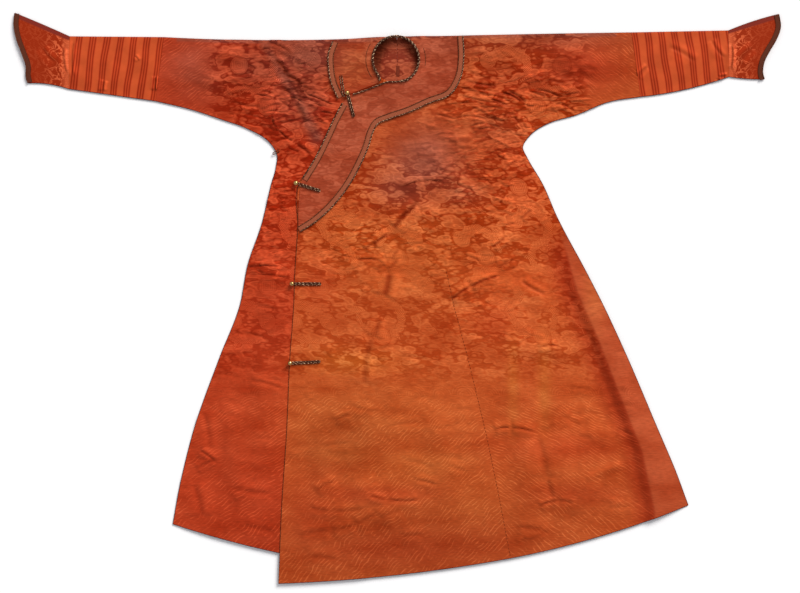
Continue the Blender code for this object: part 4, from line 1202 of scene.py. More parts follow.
# %% Striped silk and cuff silk
BAND_PITCH = 34.7
BAND_FIRST = 6.0
LINE_PITCH = 6.4
LINE_HALF_WIDTH = 1.4
STRIPE_DRIFT = 8.0  # the stripes wander this far, as the silk is a little pulled out of true
STRIPE_SHADE = 0.5
STAIN_TONES = (0.3, 0.7, 0.82, 1.14)
SCROLL_LINE = (0.022, 0.05, 1.0, 0.0)
SCROLL_FADE = (70.0, 25.0, 0.18, 1.0)  # by the distance from the wrist's seam in mm
CUFF_TOP = (22.0, 6.0, 0.0, 0.75)
CUFF_FOLD = (10.0, 7.0)  # the purple strip along the cuff's folded edge
RIB_PITCH = 4.5
RIB_TONES = (0.5, 0.7, 0.93, 1.05)
CUFF_SHADE = 0.6


def striped_silk():
    """Orange silk with dark red lines in threes, from the distance along the sleeve."""
    made, tree, shader = new_material("striped_sleeve_silk", "#BA4725", Roughness=0.5, **SILKY)
    place = add(tree, READ, out="Vector", attribute_name="cloth")
    split = add(tree, SPLIT, place, out=None)
    drift = add(tree, NOISE, Vector=place, Scale=0.012, Detail=0.0)
    along = add(tree, TIMES_PLUS, drift, STRIPE_DRIFT, split.outputs[0])
    along = add(tree, PLUS, along, -BAND_FIRST - STRIPE_DRIFT / 2)
    near = add(tree, ZIGZAG, along, BAND_PITCH / 2)
    line = add(tree, PLUS, near, LINE_PITCH / 2)
    line = add(tree, REMAINDER, line, LINE_PITCH)
    line = add(tree, PLUS, line, -LINE_PITCH / 2)
    line = add(tree, UNSIGNED, line)
    line = add(tree, RANGE, line, LINE_HALF_WIDTH - 0.4, LINE_HALF_WIDTH + 0.5, 1.0, 0.0)
    group = add(tree, BELOW, near, 1.5 * LINE_PITCH)
    line = add(tree, TIMES, line, group)
    colour = add(tree, MIX_COLOURS, group, "#C14E28", "#B63F20")
    colour = add(tree, MIX_COLOURS, line, colour, "#8E2610")
    stain = add(tree, NOISE, Vector=place, Scale=0.02, Detail=3.0)
    stain = add(tree, RANGE, stain, *STAIN_TONES)
    # painted shade in the creases, and a painted highlight on their crests where the value is below 0
    crease_shading = add(tree, READ, out="Fac", attribute_name="crease")
    crease_shading = add(tree, TIMES_PLUS, crease_shading, -STRIPE_SHADE, 1.0)
    stain = add(tree, TIMES, stain, crease_shading)
    colour = add(tree, SCALED, colour, stain)
    tree.links.new(colour, shader.inputs["Base Color"])
    return made


def cuff_silk():
    """Deep red silk with a branching scroll of lighter orange."""
    made, tree, shader = new_material("deep_red_cuff_silk", "#A33618", Roughness=0.5, **SILKY)
    place = add(tree, READ, out="Vector", attribute_name="cloth")
    split = add(tree, SPLIT, place, out=None)
    scroll = add(tree, NOISE, Vector=place, Scale=0.05, Detail=2.5, Distortion=1.2)
    line = add(tree, MINUS, scroll, 0.5)
    line = add(tree, UNSIGNED, line)
    line = add(tree, RANGE, line, *SCROLL_LINE)
    near = add(tree, RANGE, split.outputs[0], *SCROLL_FADE)
    line = add(tree, TIMES, line, near)
    plain = add(tree, RANGE, split.outputs[0], *CUFF_TOP)
    line = add(tree, LARGER, line, plain)
    colour = add(tree, MIX_COLOURS, line, "#94290F", "#D05E38")
    purple = add(tree, RANGE, split.outputs[1], *CUFF_FOLD)
    colour = add(tree, MIX_COLOURS, purple, colour, "#7C2A22")
    ribs = add(tree, TIMES, split.outputs[1], 1 / RIB_PITCH)
    ribs = add(tree, FRACTION, ribs)
    ribs = add(tree, RANGE, ribs, *RIB_TONES)
    # painted shade in the creases, and a painted highlight on their crests where the value is below 0
    crease_shading = add(tree, READ, out="Fac", attribute_name="crease")
    crease_shading = add(tree, TIMES_PLUS, crease_shading, -CUFF_SHADE, 1.0)
    ribs = add(tree, TIMES, ribs, crease_shading)
    colour = add(tree, SCALED, colour, ribs)
    tree.links.new(colour, shader.inputs["Base Color"])
    return made


STRIPED_SILK = striped_silk()
CUFF_SILK = cuff_silk()
print("lines in a group: 3, every", BAND_PITCH, "mm")

# %% Braid, cords, thread and brass
HERRINGBONE = 1.5  # half the width of one stripe of the braid
STRIPE_EDGE = (0.4, 1.1)
BRAID_RIM = (4.6, 5.6)  # the braid is dark from here to its edges
BRAID_RELIEF = 0.3


def woven_braid(name, dark, pale):
    """A narrow ribbon in a herringbone of two threads: two small repeats give it a woven grain."""
    made, tree, shader = new_material(name, pale, Roughness=0.6, Specular_IOR_Level=0.2, Specular_Tint=SHEEN)
    split = add(tree, SPLIT, add(tree, READ, out="Vector", attribute_name="cloth"), out=None)
    aside = add(tree, UNSIGNED, split.outputs[1])
    chevron = add(tree, PLUS, split.outputs[0], aside)
    chevron = add(tree, ZIGZAG, chevron, HERRINGBONE)
    chevron = add(tree, RANGE, chevron, *STRIPE_EDGE)
    edge = add(tree, RANGE, aside, *BRAID_RIM)
    chevron = add(tree, LARGER, chevron, edge)
    colour = add(tree, MIX_COLOURS, chevron, pale, dark)
    tree.links.new(colour, shader.inputs["Base Color"])
    bump = add(tree, "ShaderNodeBump", Height=chevron, Strength=1.0, Distance=BRAID_RELIEF * MM)
    tree.links.new(bump, shader.inputs["Normal"])
    return made


def thread(name, first, second, roughness, metallic):
    """Twisted thread: neighbouring plies take the two colours in turn, and gilt strip shows as flecks."""
    made, tree, shader = new_material(
        name, first, Roughness=roughness, Specular_IOR_Level=0.25, Specular_Tint=linear(second))
    ply = add(tree, READ, out="Fac", attribute_name="ply")
    fleck = add(tree, "ShaderNodeTexCoord", out="Object")
    fleck = add(tree, NOISE, Vector=fleck, Scale=420.0, Detail=1.0)
    fleck = add(tree, RANGE, fleck, 0.50, 0.58)
    mixed = add(tree, TIMES, ply, fleck)
    colour = add(tree, MIX_COLOURS, mixed, first, second)
    tree.links.new(colour, shader.inputs["Base Color"])
    shine = add(tree, TIMES, mixed, metallic)
    tree.links.new(shine, shader.inputs["Metallic"])
    return made


# Silk ribbon couched between the two cords of the trim: pale copper and brown threads in a herringbone.
RIBBON = woven_braid("copper_silk_ribbon", "#7E3822", "#B4664A")
# Dark binding of the cuffs, its threads nearly black from wear.
BINDING = woven_braid("dark_cuff_binding", "#42221A", "#6C3828")
# Dark brown silk wound with gilt strip: dark plies with pale gold flecks, which make the twist visible.
GILT_CORD = thread("gilt_wound_cord", "#42241A", "#D0A886", 0.6, 0.1)
# Brown silk cord beside the ribbon, with little gilt left.
BROWN_CORD = thread("brown_silk_cord", "#4E2618", "#8E5C3E", 0.7, 0.0)
# Red-brown sewing silk: matt and even, so a seam shows as a fine dotted line.
DARK_THREAD = thread("dark_sewing_thread", "#6E2A16", "#6E2A16", 0.7, 0.0)
# Purple-black silk of the narrow piping that closes the robe's edges: thin and matt, it draws the outline.
EDGE_SILK = thread("purple_black_piping", "#4A1E1C", "#5C2A26", 0.8, 0.0)


def gilt_brass():
    """Cast brass with worn gilding: a bright yellow metal, duller in a few worn spots."""
    made, tree, shader = new_material("worn_gilt_brass", "#C9A45C", Metallic=1.0)
    worn = add(tree, "ShaderNodeTexCoord", out="Object")
    worn = add(tree, NOISE, Vector=worn, Scale=400.0, Detail=3.0)
    worn = add(tree, RANGE, worn, 0.4, 0.65)
    colour = add(tree, MIX_COLOURS, worn, "#D8B878", "#8A6632")
    tree.links.new(colour, shader.inputs["Base Color"])
    rough = add(tree, RANGE, worn, To_Min=0.22, To_Max=0.42)
    tree.links.new(rough, shader.inputs["Roughness"])
    return made


BRASS = gilt_brass()
print("materials:", len(bpy.data.materials))

# %% [markdown]
# ## Halves of the robe
# One length of silk makes each half: it runs up from the front hem, turns over the shoulder and goes down to
# the back hem. The grid is close enough on the front, 4 mm, for every crease in the tables. The back lies
# flat on the floor and needs few rows.

# %% The two halves and the overlap
CLOTH_REACH = 4.0
BACK_REACH = 30.0
FOLD_STEPS = 6
LEFT_COLUMNS = 112
RIGHT_COLUMNS = 96
OVERLAP_COLUMNS = 84
NAPE_ROWS = ((0.96, 666.0), (0.8, 635.0), (0.45, 608.0))
BACK_HEM_BOW = -20
FRONT_CENTRE = 18.0  # where the centre seam meets the neck
EDGE_SHADE = 0.9  # painted shade on the turn of the fold along the shoulders, which shows as a thin dark line
# Painted shadow inside the neck, with some neck soiling: dark in a ring that is wider at the upper left
NECK_SHADOW_AND_DIRT = 0.95
NECK_SHADOW_DARK = 2.0
NECK_SHADOW_MIDDLE = (NECK[0] + 7.0, NECK[1] - 9.0)
NECK_SHADOW_FROM = 36.0
NECK_SHADOW_RUN = 20.0
NECK_SHADOW_REACH = 8.0
rims = []  # the open edges of the robe, for their piping


def folded_grid(front, back, shares, surface):
    """Front rows, the turn over the shoulder and back rows as one grid, with its crease shade."""
    x, y = across(front, shares)
    level, shade = surface(x, y)
    blocks, shades = [stacked(x, y, level)], [shade]
    top_x, top_y, high = x[-1], y[-1], level[-1]
    low = back_level(top_x, top_y)
    radius = (high - low) / 2
    turn = np.linspace(0, np.pi, FOLD_STEPS + 1)[1:, None]
    arc_y, arc_z = top_y + radius * np.sin(turn), low + radius + radius * np.cos(turn)
    blocks.append(stacked(top_x, arc_y, arc_z))
    x, y = across(back, shares)
    blocks.append(stacked(x, y, back_level(x, y)))
    shades += [np.full_like(arc_y, EDGE_SHADE), np.zeros_like(x)]
    return np.vstack(blocks), np.vstack(shades)


def outer_face_without_neck_shadow(obj, probe, fields):
    """Takes the painted shadow and soiling inside the neck off the outer face. The front's point probe tells
    the faces apart.
    """
    half = len(obj.data.vertices) // 2
    points = obj.data.vertices
    outer = 0 if points[probe].co.z > points[probe + half].co.z else half
    for field in ("light", "crease"):
        layer = obj.data.attributes[field].data
        values = np.empty(2 * half, np.float32)
        layer.foreach_get("value", values)
        values[outer:outer + half] = np.ravel(fields[field])
        layer.foreach_set("value", values)


def body_half(name, sections, seam, turns, fold_bow, centre_gap, columns, surface, lines):
    """One half of the robe, from the front hem round the neck and over the shoulder to the back hem."""
    lower = through([row[:5] for row in sections], CLOTH_REACH)
    arc = math.radians(abs(turns[1] - turns[0])) * NECK_RADIUS
    share = np.linspace(0, 1, math.ceil(arc / CLOTH_REACH))[1:]
    angle = np.radians(between(turns[:1], turns[1:], share)[0])
    neck = stacked(
        NECK[0] + NECK_RADIUS * np.cos(angle), NECK[1] + NECK_RADIUS * np.sin(angle),
        *between(*seam, share), fold_bow * eased(share),
    )
    keys = [(centre_gap, row.back_y, row.out_x, row.out_y, row.bow) for row in sections]
    keys[0] = (*keys[0][:4], BACK_HEM_BOW)
    nape = [(centre_gap, y, *between(*seam, share), fold_bow * eased(share)) for share, y in NAPE_ROWS]
    back = np.vstack([nape, through(keys, BACK_REACH)[::-1]])
    grid, shade = folded_grid(np.vstack([lower, neck]), back, np.linspace(0, 1, columns + 1), surface)
    x, y = grid[..., 0], grid[..., 1]
    front_rows = len(lower) + len(neck)
    u = x - FRONT_CENTRE if lines == "left" else x.copy()
    if lines == "left":
        u[:front_rows] = x[:front_rows] - seam_x(y[:front_rows])
    front = np.broadcast_to(np.arange(len(x))[:, None] < front_rows + FOLD_STEPS / 2, x.shape).astype(float)
    # painted shadow and soiling inside the neck: in the crease shade, and darker still in the light value
    inside = np.hypot(x - NECK_SHADOW_MIDDLE[0], y - NECK_SHADOW_MIDDLE[1])
    neck_shadow_and_dirt = NECK_SHADOW_AND_DIRT * eased((inside - NECK_SHADOW_FROM) / NECK_SHADOW_RUN) * (1 - front)
    neck_shadow_and_dirt *= neck_distance(x, y) < NECK_RADIUS + NECK_SHADOW_REACH
    fields = painted(x, y, u, shade + neck_shadow_and_dirt, lines, front=front)
    fields["light"] -= NECK_SHADOW_DARK * neck_shadow_and_dirt
    obj = cloth(name, grid, SILK, DAMASK, fields)
    outer_face_without_neck_shadow(obj, front_rows // 2 * (columns + 1), painted(x, y, u, shade, lines, front=front))
    rims.extend([grid[:len(lower), -1], grid[0]])
    print(name, triangles(obj), "triangles, cloth of %.2f m2" % plan_area(grid))
    return obj, plan_area(grid)


HALF_GAP = SEAM_GAP / 2
left_half, left_area = body_half(
    "left_half", LEFT_SECTIONS, LEFT_SEAM, (CENTRE_TURN, LEFT_FOLD_TURN), LEFT_FOLD_BOW,
    HALF_GAP, LEFT_COLUMNS, top_surface, "left",
)
right_half, right_area = body_half(
    "right_half", RIGHT_SECTIONS, RIGHT_SEAM, (UNDER_TURN, RIGHT_FOLD_TURN), RIGHT_FOLD_BOW,
    -HALF_GAP, RIGHT_COLUMNS, under_surface, "right",
)
SEWN_GAP = 0.08
overlap_keys = [
    (row.in_x - SEWN_GAP, row.in_y, edge.x, edge.y, edge.bow)
    for row, edge in zip(LEFT_SECTIONS, OVERLAP_EDGE)
]
overlap_rows = through(overlap_keys, CLOTH_REACH, row_gaps([row[:4] for row in LEFT_SECTIONS]))
x, y = across(overlap_rows, np.linspace(0, 1, OVERLAP_COLUMNS + 1))
level, shade = top_surface(x, y)
overlap_grid = stacked(x, y, level)
overlap_front = cloth(
    "overlap_front", overlap_grid, SILK, DAMASK, painted(x, y, x - seam_x(y), shade, "overlap")
)
overlap_area = plan_area(overlap_grid)
rims.append(overlap_grid[0])
stands_for(left_half, "body_left")
stands_for(right_half, "body_right")
stands_for(overlap_front, "overlap")
print("overlap_front", triangles(overlap_front), "triangles, cloth of %.2f m2" % overlap_area)

# %% [markdown]
# ## Sleeves
# The band above each cuff and the hoof-shaped cuff itself are tubes pressed flat, each folded along its upper
# edge. Here they have their own creases: soft slanting folds where the sleeve was once pushed up.

# %% Sleeve bands and cuffs
SLEEVE_REACH = 2.6
CUFF_GAP = 1.5 * SEAM_GAP
BAND_BOW_END = 2.5  # the band's underarm edge is straight again after two fifths of its height
SLEEVE_CREASES = table(Crease, (
    (-750, 527, -745, 556, 1, 4, -3), (-668, 617, -658, 604, 1, 3, -2.4),
    (-614, 566, -617, 528, 0, 3.5, -4), (-822, 660, -826, 560, -4, 4, -2.6),
    (-850, 640, -842, 570, -4, 5, -2.2), (820, 566, 842, 570, 2, 4, 3.4), (812, 560, 836, 552, -3, 4, -2.4),
    (690, 640, 760, 600, 5, 9, -1.6), (612, 560, 640, 590, 3, 5, -2), (800, 660, 836, 610, -4, 6, -1.8),
    (852, 650, 850, 580, 3, 4, -2.6), (870, 600, 910, 640, 4, 8, -1.6), (-870, 600, -905, 640, 4, 8, -1.4),
))


def sleeve_surface(x, y):
    """Level and crease shade of the sleeve bands and cuffs."""
    height, shade = relief(SLEEVE_CREASES, x, y)
    return front_level(x, y) + height, shade


def sleeve_piece(name, rows, back, seam, silk, node):
    """One flattened tube of the sleeve. rows run from its underarm edge up to its fold."""
    wide = max(np.hypot(rows[:, 2] - rows[:, 0], rows[:, 3] - rows[:, 1]))
    shares = np.linspace(0, 1, math.ceil(wide / SLEEVE_REACH) + 1)
    grid, shade = folded_grid(rows, back, shares, sleeve_surface)
    x, y = grid[..., 0], grid[..., 1]
    lean = (seam[1][0] - seam[0][0]) / (seam[1][1] - seam[0][1])
    along = np.abs(x - seam[0][0] - lean * (y - seam[0][1]))
    below = distance_to(SHOULDER, x, y)
    fields = {"cloth": stacked(along, below, 0.0), "crease": shade}
    obj = cloth(name, grid, SILK, silk, fields)
    rims.append(grid[0])
    stands_for(obj, node)
    print(name, triangles(obj), "triangles")
    return obj, plan_area(grid)


def band_piece(name, seam, wrist, gap, bow, node):
    """A ribbed band, straight from the sleeve's seam to the wrist."""
    share = np.linspace(0, 1, math.ceil(math.dist(*seam) / SLEEVE_REACH) + 1)[:, None]
    inner = np.array(seam[0]) + (np.array(seam[1]) - seam[0]) * share
    outer = np.array(wrist[0]) + (np.array(wrist[1]) - wrist[0]) * share
    rows = np.hstack([inner + (gap, 0), outer, bow * (1 - eased(BAND_BOW_END * share))])
    return sleeve_piece(name, rows, rows[::-1][::4], seam, STRIPED_SILK, node)


def cuff_piece(name, cut, wrist, gap, node):
    """A hoof-shaped cuff, flared from the wrist to the rows of its cut."""
    inner = [between(*wrist, row.along) for row in cut]
    keys = [(x + gap, y, row.out_x, row.out_y, row.bow) for (x, y), row in zip(inner, cut)]
    rows = through(keys, SLEEVE_REACH)
    return sleeve_piece(name, rows, rows[::-1][4::6], wrist, CUFF_SILK, node)


left_band, left_band_area = band_piece(
    "left_sleeve_band", LEFT_SEAM, LEFT_WRIST, SEAM_GAP, UNDERARM_BOW, "sleeve_band_left")
right_band, right_band_area = band_piece(
    "right_sleeve_band", RIGHT_SEAM, RIGHT_WRIST, -SEAM_GAP, 0.0, "sleeve_band_right")
left_cuff, left_cuff_area = cuff_piece("left_cuff", LEFT_CUFF, LEFT_WRIST, CUFF_GAP, "cuff_left")
right_cuff, right_cuff_area = cuff_piece("right_cuff", RIGHT_CUFF, RIGHT_WRIST, -CUFF_GAP, "cuff_right")

# %% [markdown]
# ## Collar facings and ribbons
# A second layer of silk, about 130 mm wide, runs round the neck and down the slanting edge of the overlap.
# Its outer edge carries the trim: a copper ribbon couched between two twisted cords.

# %% Facings
TRIM_REACH = 3.0
CORD_RADIUS = 3.2
FACING_SHIFT = 40.0  # the facing's clouds don't continue those of the silk below it


def raised(level, step):
    """The surface that lies a step above another."""
    return lambda x, y: level(x, y) + step


facing_over_level = raised(top_level, FACING_STEP)
facing_under_level = raised(under_level, FACING_STEP)


def facing_piece(name, bands, level, node, lines):
    """A curved strip of silk through its bands, laid on the front."""
    rows = through([(*band, 0) for band in bands], TRIM_REACH)
    columns = math.ceil(max(math.dist(row[:2], row[2:4]) for row in rows) / TRIM_REACH)
    x, y = across(rows, np.linspace(0, 1, columns + 1))
    grid = stacked(x, y, level(x, y))
    fields = painted(x, y, x - FACING_SHIFT, np.zeros_like(x), lines, drawn=False)
    obj = cloth(name, grid, TRIM, COLLAR_DAMASK, fields)
    stands_for(obj, node)
    print(name, triangles(obj), "triangles")
    return obj, plan_area(grid)


over_facing, over_area = facing_piece(
    "over_facing", FACING_OVER, facing_over_level, "collar_facing_over", "overlap")
under_facing, under_area = facing_piece(
    "under_facing", FACING_UNDER, facing_under_level, "collar_facing_under", "right")

# %% Ribbons and bindings
BRAID_WIDTH = 13.0
BINDING_WIDTH = 12.0


def offset_line(line, gap, reach=TRIM_REACH):
    """Points along a smooth line through the table's points, moved aside by gap."""
    points = through([row[:2] for row in line], reach)
    ahead = np.gradient(points, axis=0)
    ahead /= np.hypot(ahead[:, 0], ahead[:, 1])[:, None]
    return points + np.stack([-ahead[:, 1], ahead[:, 0]], axis=1) * gap


def ribbon_piece(name, line, width, side, level, surface, node):
    """A ribbon laid to one side of a line, five strips across."""
    shares = np.linspace(0, 1, 6)
    stripes = np.stack([offset_line(line, side * width * share) for share in shares], axis=1)
    x, y = stripes[..., 0], stripes[..., 1]
    along = np.concatenate([[0], np.cumsum(np.hypot(*np.diff(stripes[:, 0], axis=0).T))])
    place = stacked(along[:, None], (shares - 0.5) * width, 0.0)
    obj = cloth(name, stacked(x, y, level(x, y)), TRIM, surface, {"cloth": place})
    stands_for(obj, node)


on_over = raised(facing_over_level, BRAID_STEP)
on_under = raised(facing_under_level, BRAID_STEP)
on_cuff = raised(lambda x, y: sleeve_surface(x, y)[0], FACING_STEP)
OVER_LINE = outer_line(FACING_OVER)
UNDER_LINE = outer_line(FACING_UNDER)
EDGE_LINE = [(row.in_x, row.in_y) for row in FACING_OVER[8:13]]
LEFT_RIM = outer_line(LEFT_CUFF)
RIGHT_RIM = outer_line(RIGHT_CUFF)
RIBBONS = (
    ("over_ribbon", OVER_LINE, -1, on_over, "braid_facing_over"),
    ("under_ribbon", UNDER_LINE, 1, on_under, "braid_facing_under"),
    ("edge_ribbon", EDGE_LINE, 1, on_over, "braid_overlap_edge"),
)
for name, line, side, level, node in RIBBONS:
    ribbon_piece(name, line, BRAID_WIDTH, side, level, RIBBON, node)
for wrist, rim, side in (("left", LEFT_RIM, 1), ("right", RIGHT_RIM, -1)):
    ribbon_piece(f"{wrist}_cuff_edging", rim, BINDING_WIDTH, side, on_cuff, BINDING, f"cuff_binding_{wrist}")
print("ribbons on the collar:", len(RIBBONS))

# %% [markdown]
# ## Twisted cords and stitches
# A cord is spun from plies that wind round each other, and a seam is a row of equal stitches. Both are
# repeats along a line, so one small node tree makes each: the twist from the distance along the line, the
# stitches as copies set on points of equal spacing.

# %% Node trees for cords and stitches


def new_tree(name, **inputs):
    """An empty geometry node tree with named inputs, and its group input and output nodes."""
    tree = bpy.data.node_groups.new(name, "GeometryNodeTree")
    for label, kind in {"Geometry": "Geometry", **inputs}.items():
        tree.interface.new_socket(label.replace("_", " "), in_out="INPUT", socket_type=f"NodeSocket{kind}")
    tree.interface.new_socket("Geometry", in_out="OUTPUT", socket_type="NodeSocketGeometry")
    return tree, tree.nodes.new("NodeGroupInput").outputs, tree.nodes.new("NodeGroupOutput")


def cord_tree():
    """Plies that wind round a line, each a copy of it moved aside and turned further along the way."""
    tree, given, result = new_tree(
        "twisted_cord", Spacing="Float", Plies="Int", Lay="Float", Offset="Float", Ply_Radius="Float",
        Material="Material")
    line = add(tree, "GeometryNodeMeshToCurve", Mesh=given["Geometry"])
    line = add(tree, "GeometryNodeResampleCurve", Curve=line, Length=given["Spacing"], mode="LENGTH")
    copies = add(tree, "GeometryNodeDuplicateElements", line, out=None, domain="SPLINE")
    tree.links.new(given["Plies"], copies.inputs["Amount"])
    index = copies.outputs["Duplicate Index"]
    kept = add(
        tree, "GeometryNodeStoreNamedAttribute", copies.outputs[0], Name="ply", Value=index,
        data_type="FLOAT", domain="POINT")
    travelled = add(tree, "GeometryNodeSplineParameter", out="Length")
    turns = add(tree, DIVIDED, travelled, given["Lay"])
    share = add(tree, DIVIDED, index, given["Plies"])
    angle = add(tree, PLUS, turns, share)
    angle = add(tree, TIMES, angle, math.tau)
    normal = add(tree, "GeometryNodeInputNormal")
    tangent = add(tree, "GeometryNodeInputTangent")
    other = add(tree, CROSS, tangent, normal)
    near = add(tree, TIMES, add(tree, COSINE, angle), given["Offset"])
    far = add(tree, TIMES, add(tree, SINE, angle), given["Offset"])
    near = add(tree, SCALED, normal, near)
    far = add(tree, SCALED, other, far)
    shift = add(tree, SHIFTED, near, far)
    moved = add(tree, "GeometryNodeSetPosition", Geometry=kept, Offset=shift)
    round_ = add(tree, "GeometryNodeCurvePrimitiveCircle", Resolution=6, Radius=given["Ply Radius"])
    tube = add(tree, "GeometryNodeCurveToMesh", Curve=moved, Profile_Curve=round_, Fill_Caps=True)
    smooth = add(tree, "GeometryNodeSetShadeSmooth", tube)
    real = add(tree, "GeometryNodeRealizeInstances", smooth)
    painted_ = add(tree, "GeometryNodeSetMaterial", real, Material=given["Material"])
    tree.links.new(painted_, result.inputs[0])
    return tree


def stitch_tree():
    """Small rods of uneven length, set on points of equal spacing."""
    tree, given, result = new_tree(
        "running_stitch", Pitch="Float", Length="Float", Radius="Float", Seed="Int", Material="Material")
    line = add(tree, "GeometryNodeMeshToCurve", Mesh=given["Geometry"])
    points = add(tree, "GeometryNodeCurveToPoints", line, Length=given["Pitch"], out=None, mode="LENGTH")
    turned = add(tree, "FunctionNodeAlignRotationToVector", Vector=points.outputs["Tangent"], axis="Z")
    stitch = add(
        tree, "GeometryNodeMeshCylinder", Vertices=6, Radius=given["Radius"], Depth=given["Length"])
    uneven = add(tree, "FunctionNodeRandomValue", 0.7, 1.15, Seed=given["Seed"])
    size = add(tree, JOIN, 1.0, 1.0, uneven)
    copies = add(
        tree, "GeometryNodeInstanceOnPoints", Points=points.outputs[0], Instance=stitch, Rotation=turned,
        Scale=size)
    real = add(tree, "GeometryNodeRealizeInstances", copies)
    painted_ = add(tree, "GeometryNodeSetMaterial", real, Material=given["Material"])
    tree.links.new(painted_, result.inputs[0])
    return tree


CORD_TREE = cord_tree()
STITCH_TREE = stitch_tree()
PLY_SPREAD = 1.15  # plies are pressed into each other, so each is a little thicker than its share
STITCH_PITCH = 8.6
STITCH_LENGTH = 5.0
STITCH_RADIUS = 0.45


def grown(name, paths, tree, **values):
    """A plain mesh that a node tree grows along lines of points in mm."""
    mesh = bpy.data.meshes.new(name)
    points, edges = [], []
    for path in paths:
        start = len(points)
        points += [tuple(Vector(point) * MM) for point in path]
        edges += [(start + k, start + k + 1) for k in range(len(path) - 1)]
    mesh.from_pydata(points, edges, [])
    obj = bpy.data.objects.new(name, mesh)
    room.collection.objects.link(obj)
    grower = obj.modifiers.new("grow", "NODES")
    grower.node_group = tree
    sockets = {item.name: item.identifier for item in tree.interface.items_tree if item.in_out == "INPUT"}
    for label, value in values.items():
        grower[sockets[label.replace("_", " ")]] = value
    plain_mesh(obj)
    obj.data.materials.clear()
    obj.data.materials.append(values["Material"])
    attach(obj, "root")
    return obj


def twisted(name, paths, radius, surface, plies=2, lay=None, spacing=1.6):
    """Cords of the given outer radius. Two plies, each half as thick as the cord, wind round each other."""
    ply = radius / 2 if plies == 2 else radius
    return grown(
        name, paths, CORD_TREE, Spacing=spacing * MM, Plies=plies, Lay=(lay or 5.0 * radius) * MM,
        Offset=(radius - ply) * MM, Ply_Radius=ply * PLY_SPREAD * MM, Material=surface)


def stitched(name, paths, seed):
    """Stitches of uneven length, spaced evenly along seams."""
    return grown(
        name, paths, STITCH_TREE, Pitch=STITCH_PITCH * MM, Length=STITCH_LENGTH * MM,
        Radius=STITCH_RADIUS * MM, Seed=seed, Material=DARK_THREAD)


def at_level(xy, level, above):
    """Points of a line in plan, lifted onto a surface."""
    xy = np.array(xy, float)
    return np.column_stack([xy, level(xy[:, 0], xy[:, 1]) + above])


print("node trees:", len(bpy.data.node_groups))

# %% Cords of the collar and its trim
OUTER_CORD = 1.7
INNER_CORD = 1.1
FRONT_CORD = 2.0  # the neck cord goes on to the collar's toggle as one thinner cord
SUNK = 0.55  # a cord lies this share of its radius above the trim, pressed into it by its stitches
NECK_LAY = 11.0  # length of one turn of the neck cord's plies
NECK_LINE_AT = 76.0  # two fine lines of cord lie this far from the neck's middle
NECK_LINE_RADIUS = 0.7
PIPING = 0.8
CUFF_PIPING = 1.2
EDGE_RADIUS = 0.8
EDGE_SPACING = 8.0
NAPE_SPAN = 35.0


def trim_cords(name, line, side, level):
    """The two cords that hold a ribbon down, one along each of its edges."""
    for part, gap, radius, silk in (
        ("outer", 0.0, OUTER_CORD, GILT_CORD), ("inner", side * BRAID_WIDTH, INNER_CORD, BROWN_CORD),
    ):
        path = at_level(offset_line(line, gap), level, TRIM / 2 + SUNK * radius)
        twisted(f"{name}_{part}_cord", [path], radius, silk)


for name, line, side, level, _ in RIBBONS:
    trim_cords(name, line, side, level)

RING_SEAT = TRIM / 2 + REST_GAP + CORD_RADIUS


def ring_path(start, end, level, radius=NECK_RADIUS, above=RING_SEAT):
    """Points round the neck between two directions in degrees, sunk at the nape, where no facing lies."""
    turn = np.linspace(start, end, math.ceil(abs(end - start) / 2) + 1)
    x = NECK[0] + radius * np.cos(np.radians(turn))
    y = NECK[1] + radius * np.sin(np.radians(turn))
    nape = 1 - eased(np.abs(turn - 90.0) / NAPE_SPAN)
    return np.column_stack([x, y, level(x, y) + above - nape * FACING_STEP])


crossing = through([(21, 553), (-2, 550), (-26, 549), (-43, 543), (-82, 528), (-112, 518)], 3)[1:]
over_neck = np.vstack([
    ring_path(89.6, -66, facing_over_level), at_level(crossing[:4], facing_over_level, RING_SEAT),
])
front_end = at_level(crossing[3:], facing_over_level, TRIM / 2 + REST_GAP + FRONT_CORD)
twisted("front_neck_cord", [front_end], FRONT_CORD, GILT_CORD)
under_end = through([(-52.5, 575), (-45, 561), (-43, 553)], 3)[1:]
under_neck = np.vstack([
    ring_path(90.4, 213, facing_under_level), at_level(under_end, facing_under_level, RING_SEAT),
])
for name, path, node in (
    ("over_neck_cord", over_neck, "neck_cord_over"), ("under_neck_cord", under_neck, "neck_cord_under"),
):
    stands_for(twisted(name, [path], CORD_RADIUS, GILT_CORD, lay=NECK_LAY), node)
neck_lines = [
    ring_path(148, 216, facing_under_level, NECK_LINE_AT, TRIM / 2 + 0.5),
    ring_path(22, -12, facing_over_level, NECK_LINE_AT, TRIM / 2 + 0.5),
]
twisted("neck_line", neck_lines, NECK_LINE_RADIUS, BROWN_CORD)
edge_line = [(edge.x, edge.y) for edge in OVERLAP_EDGE]
edge_path = at_level(offset_line(edge_line, 0.5, 6.0), top_level, 0.5)
twisted("overlap_edge_piping", [edge_path], PIPING, BROWN_CORD)
for name, rim in (("left", LEFT_RIM), ("right", RIGHT_RIM)):
    along_rim = at_level(offset_line(rim, 0.0), on_cuff, TRIM / 2 + 0.3)
    twisted(f"{name}_cuff_piping", [along_rim], CUFF_PIPING, BROWN_CORD)
twisted("edge_piping", rims, EDGE_RADIUS, EDGE_SILK, plies=1, spacing=EDGE_SPACING)
print("cords laid, edges piped:", len(rims))

# %% [markdown]
# ## Closures
# Four toggles close the robe: a gilt ball at the edge, held by a doubled cord sewn down on the overlap. The
# loops that take them are doubled cords too.

